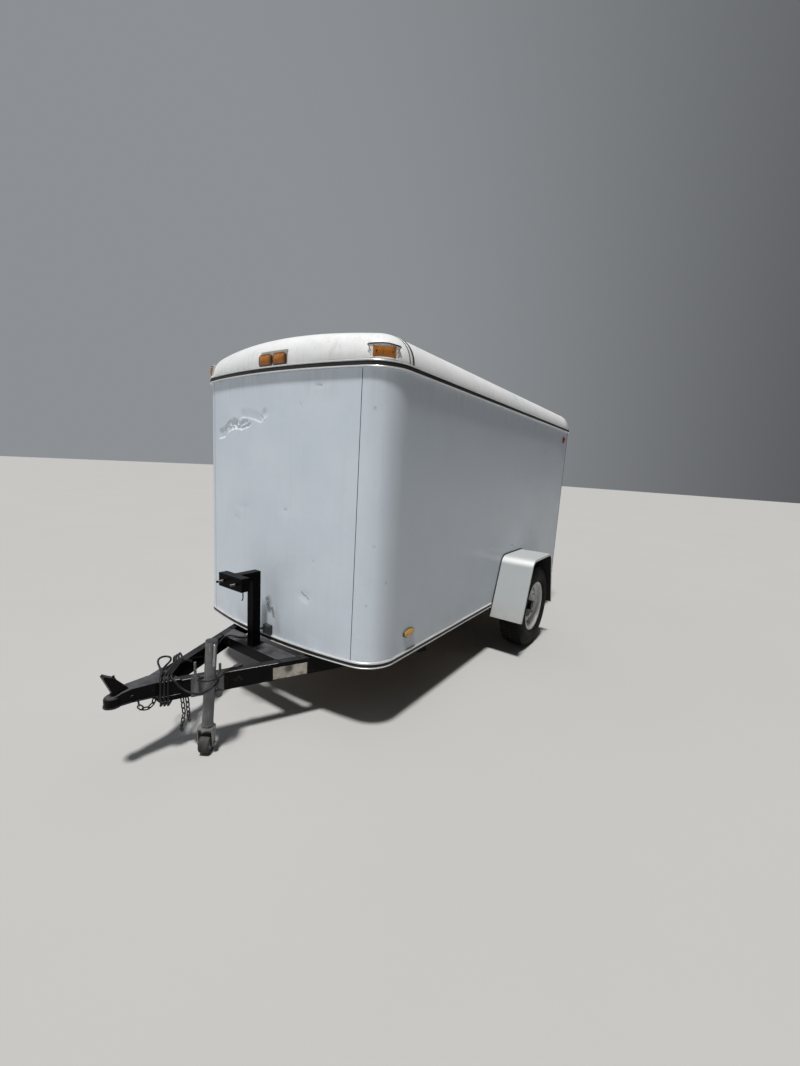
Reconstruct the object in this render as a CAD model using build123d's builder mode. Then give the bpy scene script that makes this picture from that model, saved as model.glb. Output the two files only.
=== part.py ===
from build123d import *
import math
import os

os.makedirs("parts", exist_ok=True)

# Enclosed single-axle cargo trailer, box about 1.52 m wide and 3.27 m long.
# Millimetres, +Z up, -Y is forward (tongue), +X is the trailer's left side.
# "Stations" are distances behind the nose of the bowed front wall; st() turns a
# station into the row's Y, whose zero is the middle of the overall length.

# ---------------------------------------------------------------- overall
COUPLER_NOSE = -858.0          # station of the foremost point
REARMOST = 3314.0              # station of the rearmost point (lock handles)
Y0 = (COUPLER_NOSE + REARMOST) / 2


def st(station):
    return station - Y0


# ---------------------------------------------------------------- body box
HALF_W = 762.0                 # 5 ft wide body
BODY_REAR = 3270.0
BOW_R = 3030.0                 # bowed front wall, seen from above
CORNER_R = 178.0               # front corner radius, seen from above
WALL_T = 35.0
SKIN_BOTTOM = 377.0
TRIM_Z = 1908.0                # where walls end and the roof mouldings begin
CROWN_TOP = 2108.0
COVE_R = 155.0
CROWN_RISE = 42.0
ROOF_T = 30.0
CAP_SEAM = 265.0               # station of the joint between cap and coves
SEAM_X = 614.0                 # front wall's vertical joints

# rear frame and its opening
POST_W = 47.0
FRAME_DEPTH = 80.0
FRAME_FRONT = BODY_REAR - FRAME_DEPTH
OPEN_HALF = HALF_W - POST_W
OPEN_BOTTOM = 440.0
OPEN_TOP = 1890.0
LIP = 15.0
REAR_DOOR_T = 38.0
DOOR_GAP = 5.5
HINGE_X = 745.0
HINGE_OUT = 20.0               # hinge axis behind the body's rear face

# side door, in the right-hand wall
SD_FRONT = 480.0
SD_REAR = 1260.0
SD_BOTTOM = 440.0
SD_TOP = 1850.0
SD_T = 24.0
SD_GAP = 5.5
SD_HINGE_OUT = 11.0

# floor and frame
FLOOR_BOTTOM = 419.0
FLOOR_TOP = 438.0
RAIL_BOTTOM = 359.0
RAIL_X = 660.0
RAIL_W = 50.0

# tongue
TONGUE_SLOPE = 0.4705          # half-width gained per station
TONGUE_X0 = 351.3              # half-width of the A-frame at station 0
TONGUE_TOP = 359.0
TONGUE_H = 94.0
TONGUE_FLANGE = 45.0
TONGUE_T = 5.0
TONGUE_FRONT = -645.0
TONGUE_REAR = 720.0

# running gear
WHEEL_Y = 1960.0
WHEEL_X = 903.0
TYRE_R = 344.0
TYRE_W = 205.0
RIM_W = 170.0
RIM_LIP_R = 206.0
BEAD_R = 190.5
AXLE_DROP = 94.0
AXLE_TUBE_R = 30.0
SPINDLE_R = 19.0
SPRING_X = 612.0
SPRING_RISE = 24.0
EYE_R = 12.0

# fender
FENDER_Y = 1957.0
FENDER_OUT = 1025.0
FENDER_TOP = 772.0
FENDER_BOTTOM = 300.0
FENDER_HALF_BOTTOM = 398.0
FENDER_HALF_TOP = 240.0
FENDER_BEND = 85.0
FENDER_T = 3.0

# jack
JACK_X = 201.0                 # jack's axis at the bottom of its tube
JACK_Y = -494.0
JACK_LEAN = 22.0 / 418.0       # it leans back along the rail
JACK_MOUNT_Z = 322.0
JACK_TUBE_R = 26.0
JACK_BORE_R = 22.5
JACK_LEG_R = 21.5
JACK_BOTTOM = 142.0
JACK_TOP = 560.0
CASTER_R = 46.0                # small wheel under the jack
CASTER_W = 50.0
CLAMP_U = 56.0                 # clamp columns either side of the jack, along the rail

# spare wheel bracket
POST_HALF = 25.4
POST_Y = -85.0
BRACKET_TOP = 803.0
STUD_X = 54.35
STUD_Z = 765.0
STUD_R = 6.35


def save(part, name):
    part.label = name
    export_step(part, "parts/" + name + ".step")


def plan_keys(d):
    """Corner and bow points of the body outline, inset by d, in row Y."""
    cyc = st(BOW_R)
    ccx = HALF_W - CORNER_R
    ccy = cyc - math.sqrt((BOW_R - CORNER_R) ** 2 - ccx ** 2)
    k = (BOW_R - d) / (BOW_R - CORNER_R)
    xt = ccx * k
    yt = cyc - (cyc - ccy) * k
    r = CORNER_R - d
    am = math.atan2(ccy - cyc, ccx) / 2
    return {
        "bow_mid": (0, st(0) + d),
        "bow_end": (xt, yt),
        "corner_mid": (ccx + r * math.cos(am), ccy + r * math.sin(am)),
        "side": (HALF_W - d, ccy),
        "centre": (ccx, ccy),
    }


def outline(d, rear):
    """Closed line of the body plan, inset by d, ending square at a rear station."""
    k = plan_keys(d)
    bx, by = k["bow_end"]
    mx, my = k["corner_mid"]
    sx, sy = k["side"]
    r = st(rear)
    ThreePointArc((-bx, by), k["bow_mid"], (bx, by))
    ThreePointArc((bx, by), (mx, my), (sx, sy))
    Line((sx, sy), (sx, r))
    Line((sx, r), (-sx, r))
    Line((-sx, r), (-sx, sy))
    ThreePointArc((-sx, sy), (-mx, my), (-bx, by))


# ---------------------------------------------------------------- wall shell
# One ring of wall, cut into panels where the real skins meet.
with BuildPart() as wall_ring:
    with BuildSketch(Plane.XY.offset(SKIN_BOTTOM)):
        with BuildLine():
            outline(0, FRAME_FRONT)
        make_face()
    extrude(amount=TRIM_Z - SKIN_BOTTOM)
    with BuildSketch(Plane.XY.offset(SKIN_BOTTOM)):
        with BuildLine():
            outline(WALL_T, FRAME_FRONT + 50)
        make_face()
    extrude(amount=TRIM_Z - SKIN_BOTTOM, mode=Mode.SUBTRACT)

MID_Z = (SKIN_BOTTOM + TRIM_Z) / 2
BIG_H = 4000.0

with BuildPart() as front_panel:
    add(wall_ring.part)
    with Locations((0, st(0), MID_Z)):
        Box(2 * SEAM_X, 400, BIG_H, mode=Mode.INTERSECT)
save(front_panel.part, "front_panel")

with BuildPart() as side_wall_left:
    add(wall_ring.part)
    with Locations((SEAM_X + 500, st(1500), MID_Z)):
        Box(1000, 5000, BIG_H, mode=Mode.INTERSECT)
save(side_wall_left.part, "side_wall_left")

with BuildPart() as side_wall_right:
    add(wall_ring.part)
    with Locations((-SEAM_X - 500, st(1500), MID_Z)):
        Box(1000, 5000, BIG_H, mode=Mode.INTERSECT)
    # door opening: the outer part takes the door, a lip stays behind it
    with Locations((-HALF_W + (SD_T + 5) / 2 - 20, st((SD_FRONT + SD_REAR) / 2), (SD_BOTTOM + SD_TOP) / 2)):
        Box(SD_T + 5 + 40, SD_REAR - SD_FRONT, SD_TOP - SD_BOTTOM, mode=Mode.SUBTRACT)
    with Locations((-HALF_W, st((SD_FRONT + SD_REAR) / 2), (SD_BOTTOM + SD_TOP) / 2)):
        Box(200, SD_REAR - SD_FRONT - 2 * LIP, SD_TOP - SD_BOTTOM - 2 * LIP, mode=Mode.SUBTRACT)
save(side_wall_right.part, "side_wall_right")

# ---------------------------------------------------------------- roof shell
CROWN_RAD = (HALF_W ** 2 + CROWN_RISE ** 2) / (2 * CROWN_RISE)


def crown_profile(d, bottom, widen=0.0):
    """Cross-section of the box above a given height: sides and crown."""
    half = HALF_W - d + widen
    top = CROWN_TOP - d
    rad = CROWN_RAD - d
    edge = top - (rad - math.sqrt(rad ** 2 - half ** 2))
    Line((-half, bottom), (half, bottom))
    Line((half, bottom), (half, edge))
    ThreePointArc((half, edge), (0, top), (-half, edge))
    Line((-half, edge), (-half, bottom))


def roof_block(d, rear, fillet_r):
    with BuildPart() as block:
        with BuildSketch(Plane.XY.offset(TRIM_Z)):
            with BuildLine():
                outline(d, rear)
            make_face()
        extrude(amount=400)
        with BuildSketch(Plane.XZ.offset(-st(rear) - 10)):
            with BuildLine():
                crown_profile(d, TRIM_Z - 50, 60.0)
            make_face()
        extrude(amount=(rear + 10) + 200, mode=Mode.INTERSECT)
        top = block.faces().sort_by(Axis.Z)[-1]
        rim = [e for e in top.edges() if e.center().Y < st(rear) - 1]
        fillet(rim, fillet_r)
    return block.part


roof_outer = roof_block(0, FRAME_FRONT, COVE_R)
roof_inner = roof_block(ROOF_T, FRAME_FRONT + 40, COVE_R - ROOF_T)

with BuildPart() as roof_shell:
    add(roof_outer)
    add(roof_inner, mode=Mode.SUBTRACT)

COVE_X = HALF_W - COVE_R
with BuildPart() as roof_front_cap:
    add(roof_shell.part)
    with Locations((0, st(CAP_SEAM - 1000), 2000)):
        Box(3000, 2000, 1000, mode=Mode.INTERSECT)
save(roof_front_cap.part, "roof_front_cap")

for name, side in (("roof_cove_left", 1), ("roof_cove_right", -1)):
    with BuildPart() as roof_cove:
        add(roof_shell.part)
        with Locations((side * (COVE_X + 500), st(CAP_SEAM + 2500), 2000)):
            Box(1000, 5000, 1000, mode=Mode.INTERSECT)
    save(roof_cove.part, name)

with BuildPart() as roof_panel:
    add(roof_shell.part)
    with Locations((0, st(CAP_SEAM + 2500), 2000)):
        Box(2 * COVE_X, 5000, 1000, mode=Mode.INTERSECT)
save(roof_panel.part, "roof_panel")

# ---------------------------------------------------------------- rear frame
with BuildPart() as rear_frame:
    with BuildSketch(Plane.XZ.offset(-st(BODY_REAR))):
        with BuildLine():
            crown_profile(0, SKIN_BOTTOM)
        make_face()
    extrude(amount=FRAME_DEPTH)
    rear_top = [e for e in rear_frame.edges().filter_by(Axis.Y) if e.center().Z > TRIM_Z]
    fillet(rear_top, COVE_R)
    with Locations((0, st(BODY_REAR), (OPEN_BOTTOM + OPEN_TOP) / 2)):
        Box(2 * OPEN_HALF, 2 * (REAR_DOOR_T + 5), OPEN_TOP - OPEN_BOTTOM, mode=Mode.SUBTRACT)
        Box(2 * (OPEN_HALF - LIP), 400, OPEN_TOP - OPEN_BOTTOM - 2 * LIP, mode=Mode.SUBTRACT)
save(rear_frame.part, "rear_frame")

# ---------------------------------------------------------------- trims
# Extruded moulding: a thin band with a raised bead along its top and bottom.
FENDER_CLEAR = FENDER_HALF_BOTTOM + 30


def trim_ring(z_low, z_high, bead, base_t, bead_t):
    with BuildPart() as ring:
        for z, h, t in ((z_low, z_high - z_low, base_t), (z_low, bead, bead_t), (z_high - bead, bead, bead_t)):
            with BuildSketch(Plane.XY.offset(z)):
                with BuildLine():
                    outline(-t, BODY_REAR)
                make_face()
            extrude(amount=h)
        with BuildSketch(Plane.XY.offset(z_low - 10)):
            with BuildLine():
                outline(0, BODY_REAR + 50)
            make_face()
        extrude(amount=z_high - z_low + 20, mode=Mode.SUBTRACT)
    return ring.part


with BuildPart() as roof_trim:
    add(trim_ring(1891, 1927, 8, 11, 15))
save(roof_trim.part, "roof_trim")

with BuildPart() as bottom_trim:
    add(trim_ring(SKIN_BOTTOM, 411, 6, 3, 7))
    with Locations((0, st(FENDER_Y), 390)):
        Box(3000, 2 * (FENDER_HALF_BOTTOM - 5), 200, mode=Mode.SUBTRACT)
save(bottom_trim.part, "bottom_trim")

# ---------------------------------------------------------------- frame
FRAME_START = 150.0
with BuildPart() as frame_rails:
    with Locations((-RAIL_X, st((FRAME_START + FRAME_FRONT) / 2), (RAIL_BOTTOM + FLOOR_BOTTOM) / 2),
                   (RAIL_X, st((FRAME_START + FRAME_FRONT) / 2), (RAIL_BOTTOM + FLOOR_BOTTOM) / 2)):
        Box(RAIL_W, FRAME_FRONT - FRAME_START, FLOOR_BOTTOM - RAIL_BOTTOM)
save(frame_rails.part, "frame_rails")

CROSS_Y = [170.0 + i * 498.0 for i in range(7)]      # stations of the cross-members
with BuildPart() as frame_crossmembers:
    with Locations(*[(0, st(y), (RAIL_BOTTOM + FLOOR_BOTTOM) / 2) for y in CROSS_Y]):
        Box(2 * (RAIL_X - RAIL_W / 2), 40, FLOOR_BOTTOM - RAIL_BOTTOM)
save(frame_crossmembers.part, "frame_crossmembers")

with BuildPart() as floor_panel:
    with BuildSketch(Plane.XY.offset(FLOOR_BOTTOM)):
        with BuildLine():
            outline(WALL_T, FRAME_FRONT)
        make_face()
    extrude(amount=FLOOR_TOP - FLOOR_BOTTOM)
save(floor_panel.part, "floor_panel")

# ---------------------------------------------------------------- tongue
T_LEN = math.hypot(1, TONGUE_SLOPE)
DIR_X, DIR_Y = TONGUE_SLOPE / T_LEN, 1 / T_LEN       # along a left rail, rearwards
OUT_X, OUT_Y = DIR_Y, -DIR_X                         # outward from a left rail


def rail_point(station, out=0.0):
    """Point on the left rail's outer face line, moved outward by out."""
    return (TONGUE_X0 + TONGUE_SLOPE * station + out * OUT_X, st(station) + out * OUT_Y)


def rail_strip(s0, s1, out0, out1):
    """Four corners of a strip along the left rail between two stations."""
    return [rail_point(s0, out0), rail_point(s1, out0), rail_point(s1, out1), rail_point(s0, out1)]


with BuildPart() as tongue_rail_left:
    zb = TONGUE_TOP - TONGUE_H
    for out0, out1, z0, z1 in ((0, -TONGUE_T, zb, TONGUE_TOP),
                               (0, -TONGUE_FLANGE, zb, zb + TONGUE_T),
                               (0, -TONGUE_FLANGE, TONGUE_TOP - TONGUE_T, TONGUE_TOP)):
        with BuildSketch(Plane.XY.offset(z0)):
            Polygon(*rail_strip(TONGUE_FRONT - 60, TONGUE_REAR + 60, out0, out1), align=None)
        extrude(amount=z1 - z0)
    with Locations((1.5 + 1000, st((TONGUE_FRONT + TONGUE_REAR) / 2), 300)):
        Box(2000, TONGUE_REAR - TONGUE_FRONT, 400, mode=Mode.INTERSECT)
save(tongue_rail_left.part, "tongue_rail_left")
with BuildPart() as tongue_rail_right:
    mirror(tongue_rail_left.part, about=Plane.YZ)
save(tongue_rail_right.part, "tongue_rail_right")

CM_FRONT, CM_REAR, CM_DEEP = -120.0, -20.0, 60.0
with BuildPart() as tongue_crossmember:
    with BuildSketch(Plane.XY.offset(TONGUE_TOP - CM_DEEP)):
        a = rail_point(CM_FRONT, -TONGUE_FLANGE)
        b = rail_point(CM_REAR, -TONGUE_FLANGE)
        ka = a[0] + (st(CM_FRONT) - a[1]) * TONGUE_SLOPE
        kb = b[0] + (st(CM_REAR) - b[1]) * TONGUE_SLOPE
        Polygon((-ka, st(CM_FRONT)), (ka, st(CM_FRONT)), (kb, st(CM_REAR)), (-kb, st(CM_REAR)), align=None)
    extrude(amount=CM_DEEP)
save(tongue_crossmember.part, "tongue_crossmember")

# ---------------------------------------------------------------- coupler
BALL_Y = COUPLER_NOSE + 37.0   # centre of the ball socket
BALL_R = 25.9
COUPLER_LIP = 311.0
COUPLER_BACK = -560.0
NECK_BACK = TONGUE_FRONT - 2
SHELL_T = 3.5
# half width by station, then height by station along the top and the underside
NECK_PLAN = [(27, -821), (27.5, -812), (29, -790), (35, -754), (43.5, -692), (50.5, NECK_BACK)]
NECK_TOP = [(-821, 360), (-812, 361), (-790, 368.5), (-754, 375.5), (NECK_BACK, 370)]
NECK_LOW = [(NECK_BACK, 297), (-660, 300), (-754, COUPLER_LIP), (-821, COUPLER_LIP)]


def neck_plan(more):
    half = [(w + more, st(y)) for w, y in NECK_PLAN]
    return half + [(-x, y) for x, y in reversed(half)]


with BuildPart() as coupler_neck:
    with BuildSketch(Plane.XY.offset(280)):
        Polygon(*neck_plan(0), align=None)
    extrude(amount=120)
    with BuildSketch(Plane.YZ.offset(-80)):
        Polygon(*[(st(y), z) for y, z in NECK_TOP + NECK_LOW], align=None)
    extrude(amount=160, mode=Mode.INTERSECT)

with BuildPart() as coupler_edge:
    # turned-out edge along the neck's underside
    with BuildSketch(Plane.XY.offset(280)):
        Polygon(*neck_plan(3.2), align=None)
    extrude(amount=120)
    with BuildSketch(Plane.YZ.offset(-80)):
        Polygon(*[(st(y), z + 4.5) for y, z in reversed(NECK_LOW)] + [(st(y), z) for y, z in NECK_LOW], align=None)
    extrude(amount=160, mode=Mode.INTERSECT)

with BuildPart() as coupler:
    add(coupler_neck.part)
    add(coupler_edge.part)
    # rounded nose over the ball, with its turned-out rim
    with BuildSketch(Plane((0, st(BALL_Y), 0), x_dir=(1, 0, 0), z_dir=(0, -1, 0))):
        with BuildLine():
            Line((0, COUPLER_LIP), (37, COUPLER_LIP))
            Line((37, COUPLER_LIP), (37, COUPLER_LIP + 5))
            Line((37, COUPLER_LIP + 5), (34, COUPLER_LIP + 5))
            Line((34, COUPLER_LIP + 5), (34, 342))
            ThreePointArc((34, 342), (30.5, 354), (20, 360))
            Line((20, 360), (0, 362))
            Line((0, 362), (0, COUPLER_LIP))
        make_face()
    revolve(axis=Axis((0, st(BALL_Y), 0), (0, 0, 1)))
    # A-frame saddle over the two rails: top plate and side flanges
    with BuildSketch(Plane.XY.offset(TONGUE_TOP)):
        b = rail_point(COUPLER_BACK, SHELL_T)
        Polygon((-50.5, st(NECK_BACK)), (50.5, st(NECK_BACK)), b, (b[0] - 60, b[1]),
                (0, st(COUPLER_BACK - 60)), (-b[0] + 60, b[1]), (-b[0], b[1]), align=None)
    extrude(amount=8)
    for side in (1, -1):
        with BuildSketch(Plane.XY.offset(292)):
            q = rail_strip(NECK_BACK, COUPLER_BACK, 0.2, SHELL_T)
            Polygon(*[(side * x, y) for x, y in q], align=None)
        extrude(amount=TONGUE_TOP + 1 - 292)
        # bolt heads on the neck's sides and on the saddle's flanges
        with BuildSketch(Plane((side * 33, st(-755), 339), x_dir=(0, 1, 0), z_dir=(side, 0, 0))):
            RegularPolygon(8, 6)
        extrude(amount=8)
    with Locations((0, st(BALL_Y), COUPLER_LIP - 1)):
        Cylinder(BALL_R, 43, align=(Align.CENTER, Align.CENTER, Align.MIN), mode=Mode.SUBTRACT)
save(coupler.part, "coupler")

with BuildPart() as coupler_latch:
    with BuildSketch(Plane.YZ.offset(-18)):
        Polygon((st(-820), 363.5), (st(-858), 458), (st(-850), 466), (st(-812), 441), (st(-768), 388), (st(-762), 380),
                (st(-770), 378.5), (st(-790), 374.5), (st(-810), 366.5), align=None)
    extrude(amount=36)
    with BuildSketch(Plane.YZ.offset(-13)):
        Polygon((st(-812), 350), (st(-848), 450), (st(-812), 430), (st(-776), 386), (st(-776), 350), align=None)
    extrude(amount=26, mode=Mode.SUBTRACT)
    with Locations((0, st(-812), 428)):
        Cylinder(5, 22, align=(Align.CENTER, Align.CENTER, Align.MIN))
        Cylinder(9, 8, align=(Align.CENTER, Align.CENTER, Align.MIN))
save(coupler_latch.part, "coupler_latch")

# ---------------------------------------------------------------- spare bracket
BAR_FRONT, BAR_BACK = -240.0, -190.0
with BuildPart() as spare_bracket:
    with Locations((0, st(POST_Y), (TONGUE_TOP + BRACKET_TOP) / 2)):
        Box(2 * POST_HALF, 2 * POST_HALF, BRACKET_TOP - TONGUE_TOP)
    with Locations((0, st((BAR_BACK + POST_Y - POST_HALF) / 2), BRACKET_TOP - POST_HALF)):
        Box(2 * POST_HALF, (POST_Y - POST_HALF) - BAR_BACK, 2 * POST_HALF)
    with Locations((2.5, st((BAR_FRONT + BAR_BACK) / 2), BRACKET_TOP - 37)):
        Box(205, BAR_BACK - BAR_FRONT, 74)
    with Locations((2.5, st(BAR_BACK) - 22, BRACKET_TOP - 37)):
        Box(205 - 10, 44, 64, mode=Mode.SUBTRACT)
    # the face plate and the two wheel studs
    with Locations((2.5, st(BAR_FRONT) + 3, BRACKET_TOP - 37)):
        Box(205, 6, 74)
    with Locations((0, st(BAR_BACK) - 25, BRACKET_TOP - POST_HALF)):
        Box(2 * POST_HALF, 50, 2 * POST_HALF)
    with Locations(Plane((-STUD_X, st(BAR_FRONT), STUD_Z), z_dir=(0, -1, 0)),
                   Plane((STUD_X, st(BAR_FRONT), STUD_Z), z_dir=(0, -1, 0))):
        Cylinder(STUD_R, 42, align=(Align.CENTER, Align.CENTER, Align.MIN))
save(spare_bracket.part, "spare_bracket")

# ---------------------------------------------------------------- axle and springs
with BuildPart() as axle:
    with BuildLine(Plane.XZ.offset(-st(WHEEL_Y))) as axle_path:
        FilletPolyline((-782, TYRE_R), (-738, TYRE_R), (-676, TYRE_R - AXLE_DROP), (676, TYRE_R - AXLE_DROP),
                       (738, TYRE_R), (782, TYRE_R), radius=38)
    with BuildSketch(Plane((-782, st(WHEEL_Y), TYRE_R), z_dir=(1, 0, 0))):
        Circle(AXLE_TUBE_R)
    sweep()
    for side in (1, -1):
        with Locations(Plane((side * 782, st(WHEEL_Y), TYRE_R), z_dir=(side, 0, 0))):
            Cylinder(SPINDLE_R, 96, align=(Align.CENTER, Align.CENTER, Align.MIN))
save(axle.part, "axle")

SPRING_Z = TYRE_R - AXLE_DROP + AXLE_TUBE_R + 6
EYE_Z = SPRING_Z + 16 + SPRING_RISE + 4
with BuildPart() as leaf_springs:
    for side in (-1, 1):
        # leaves, each row: half length, height of its underside at the middle, thickness
        for half, low, thick in ((150.0, 0.0, 8.0), (235.0, 8.0, 8.0), (318.0, 16.0, 8.0)):
            rise = SPRING_RISE * (half / 318.0) ** 2
            with BuildSketch(Plane.YZ.offset(side * SPRING_X - 22)):
                yc = st(WHEEL_Y)
                with BuildLine():
                    z0 = SPRING_Z + low
                    ThreePointArc((yc - half, z0 + rise), (yc, z0), (yc + half, z0 + rise))
                    Line((yc + half, z0 + rise), (yc + half, z0 + rise + thick))
                    ThreePointArc((yc + half, z0 + rise + thick), (yc, z0 + thick), (yc - half, z0 + rise + thick))
                    Line((yc - half, z0 + rise + thick), (yc - half, z0 + rise))
                make_face()
            extrude(amount=44)
        # seat on the axle tube and the two eyes
        with Locations((side * SPRING_X, st(WHEEL_Y), SPRING_Z - 3)):
            Box(60, 90, 6)
        for end in (-1, 1):
            with Locations(Plane((side * SPRING_X - 22, st(WHEEL_Y) + end * 322, EYE_Z), z_dir=(1, 0, 0))):
                Cylinder(EYE_R, 44, align=(Align.CENTER, Align.CENTER, Align.MIN))
save(leaf_springs.part, "leaf_springs")

HANGER_TOP = RAIL_BOTTOM
with BuildPart() as spring_hangers:
    for side in (-1, 1):
        for end in (-1, 1):
            yh = st(WHEEL_Y) + end * 322
            for dx in (-28, 28):
                with BuildSketch(Plane.YZ.offset(side * SPRING_X + dx - 3)):
                    Polygon((yh - 40, HANGER_TOP), (yh + 40, HANGER_TOP), (yh + 16, EYE_Z - 18),
                            (yh - 16, EYE_Z - 18), align=None)
                extrude(amount=6)
            with Locations(Plane((side * SPRING_X - 31, yh, EYE_Z), z_dir=(1, 0, 0))):
                Cylinder(7, 9, align=(Align.CENTER, Align.CENTER, Align.MIN))
            with Locations(Plane((side * SPRING_X + 22, yh, EYE_Z), z_dir=(1, 0, 0))):
                Cylinder(7, 9, align=(Align.CENTER, Align.CENTER, Align.MIN))
            with Locations((side * SPRING_X, yh, HANGER_TOP - 3)):
                Box(62, 84, 6)
save(spring_hangers.part, "spring_hangers")

# ---------------------------------------------------------------- wheels
for name, side in (("left", 1), ("right", -1)):
    wheel_plane = Plane((side * WHEEL_X, st(WHEEL_Y), TYRE_R), x_dir=(0, 1, 0), z_dir=(side, 0, 0))
    # section in the plane through the axis: u is radius, v is along the axle, outward
    section = Plane((side * WHEEL_X, st(WHEEL_Y), TYRE_R), x_dir=(0, 0, 1), z_dir=(0, side, 0))
    spin = Axis((side * WHEEL_X, st(WHEEL_Y), TYRE_R), (1, 0, 0))
    hw = TYRE_W / 2
    with BuildPart() as tyre:
        with BuildSketch(section):
            with BuildLine():
                Line((BEAD_R + 1, -78.5), (BEAD_R + 18, -78.8))
                ThreePointArc((BEAD_R + 18, -78.8), (250, -hw), (TYRE_R - 34, -92))
                ThreePointArc((TYRE_R - 34, -92), (TYRE_R - 13, -84), (TYRE_R - 6, -70))
                ThreePointArc((TYRE_R - 6, -70), (TYRE_R, 0), (TYRE_R - 6, 70))
                ThreePointArc((TYRE_R - 6, 70), (TYRE_R - 13, 84), (TYRE_R - 34, 92))
                ThreePointArc((TYRE_R - 34, 92), (250, hw), (BEAD_R + 18, 78.8))
                Line((BEAD_R + 18, 78.8), (BEAD_R + 1, 78.5))
                Line((BEAD_R + 1, 78.5), (BEAD_R + 1, 63))
                Line((BEAD_R + 1, 63), (BEAD_R + 22, 68))
                ThreePointArc((BEAD_R + 22, 68), (256, hw - 10), (TYRE_R - 36, 78))
                ThreePointArc((TYRE_R - 36, 78), (TYRE_R - 15, 0), (TYRE_R - 36, -78))
                ThreePointArc((TYRE_R - 36, -78), (256, -hw + 10), (BEAD_R + 22, -68))
                Line((BEAD_R + 22, -68), (BEAD_R + 1, -63))
                Line((BEAD_R + 1, -63), (BEAD_R + 1, -78.5))
            make_face()
        revolve(axis=spin)
    save(tyre.part, "tyre_" + name)

    with BuildPart() as rim:
        with BuildSketch(section):
            # outer lip, bead seat, drop centre, inner lip, then back along the inside
            Polygon((RIM_LIP_R, 85), (RIM_LIP_R - 2, 79.5), (BEAD_R, 79.5), (BEAD_R - 3, 49), (168, 38), (168, -6),
                    (BEAD_R - 3, -38), (BEAD_R, -79.5), (RIM_LIP_R - 2, -79.5), (RIM_LIP_R, -85),
                    (RIM_LIP_R - 5, -86), (BEAD_R - 5, -83.5), (BEAD_R - 8, -36), (163, -6), (163, 36),
                    (BEAD_R - 8, 51), (BEAD_R - 5, 83.5), (RIM_LIP_R - 5, 87), align=None)
        revolve(axis=spin)
        # dished disc with its centre hole
        with BuildSketch(section):
            Polygon((163.5, 24), (163.5, -5), (158.5, -5), (157.5, 10), (150, 24), (140, 34.5), (124, 44.5), (106, 42),
                    (94, 22), (84, 4.5), (42, -3), (42, 2), (81, 9.5), (90, 25), (102, 47), (124, 49.5), (143, 39.5),
                    (155, 27), (162, 24), align=None)
        revolve(axis=spin)
        # ring of vent holes
        with Locations(wheel_plane):
            with PolarLocations(111, 8):
                Cylinder(11.5, 160, mode=Mode.SUBTRACT)
    save(rim.part, "rim_" + name)

    with BuildPart() as hub:
        with BuildSketch(section):
            # bore, seal end, flange behind the disc, nose through the disc, grease cap
            Polygon((SPINDLE_R + 0.05, -108), (38, -108), (38, -60), (30, -12), (70, -12), (70, -3.2), (41.6, -3.2),
                    (41.6, 30), (38, 34), (38, 66), (34, 70), (0, 70), (0, 30), (SPINDLE_R + 0.05, 30), align=None)
        revolve(axis=spin)
        # five wheel nuts on the disc
        with Locations(wheel_plane.offset(7)):
            with PolarLocations(57.15, 5, start_angle=90):
                Cylinder(9.5, 20, align=(Align.CENTER, Align.CENTER, Align.MIN))
    save(hub.part, "hub_" + name)

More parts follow.
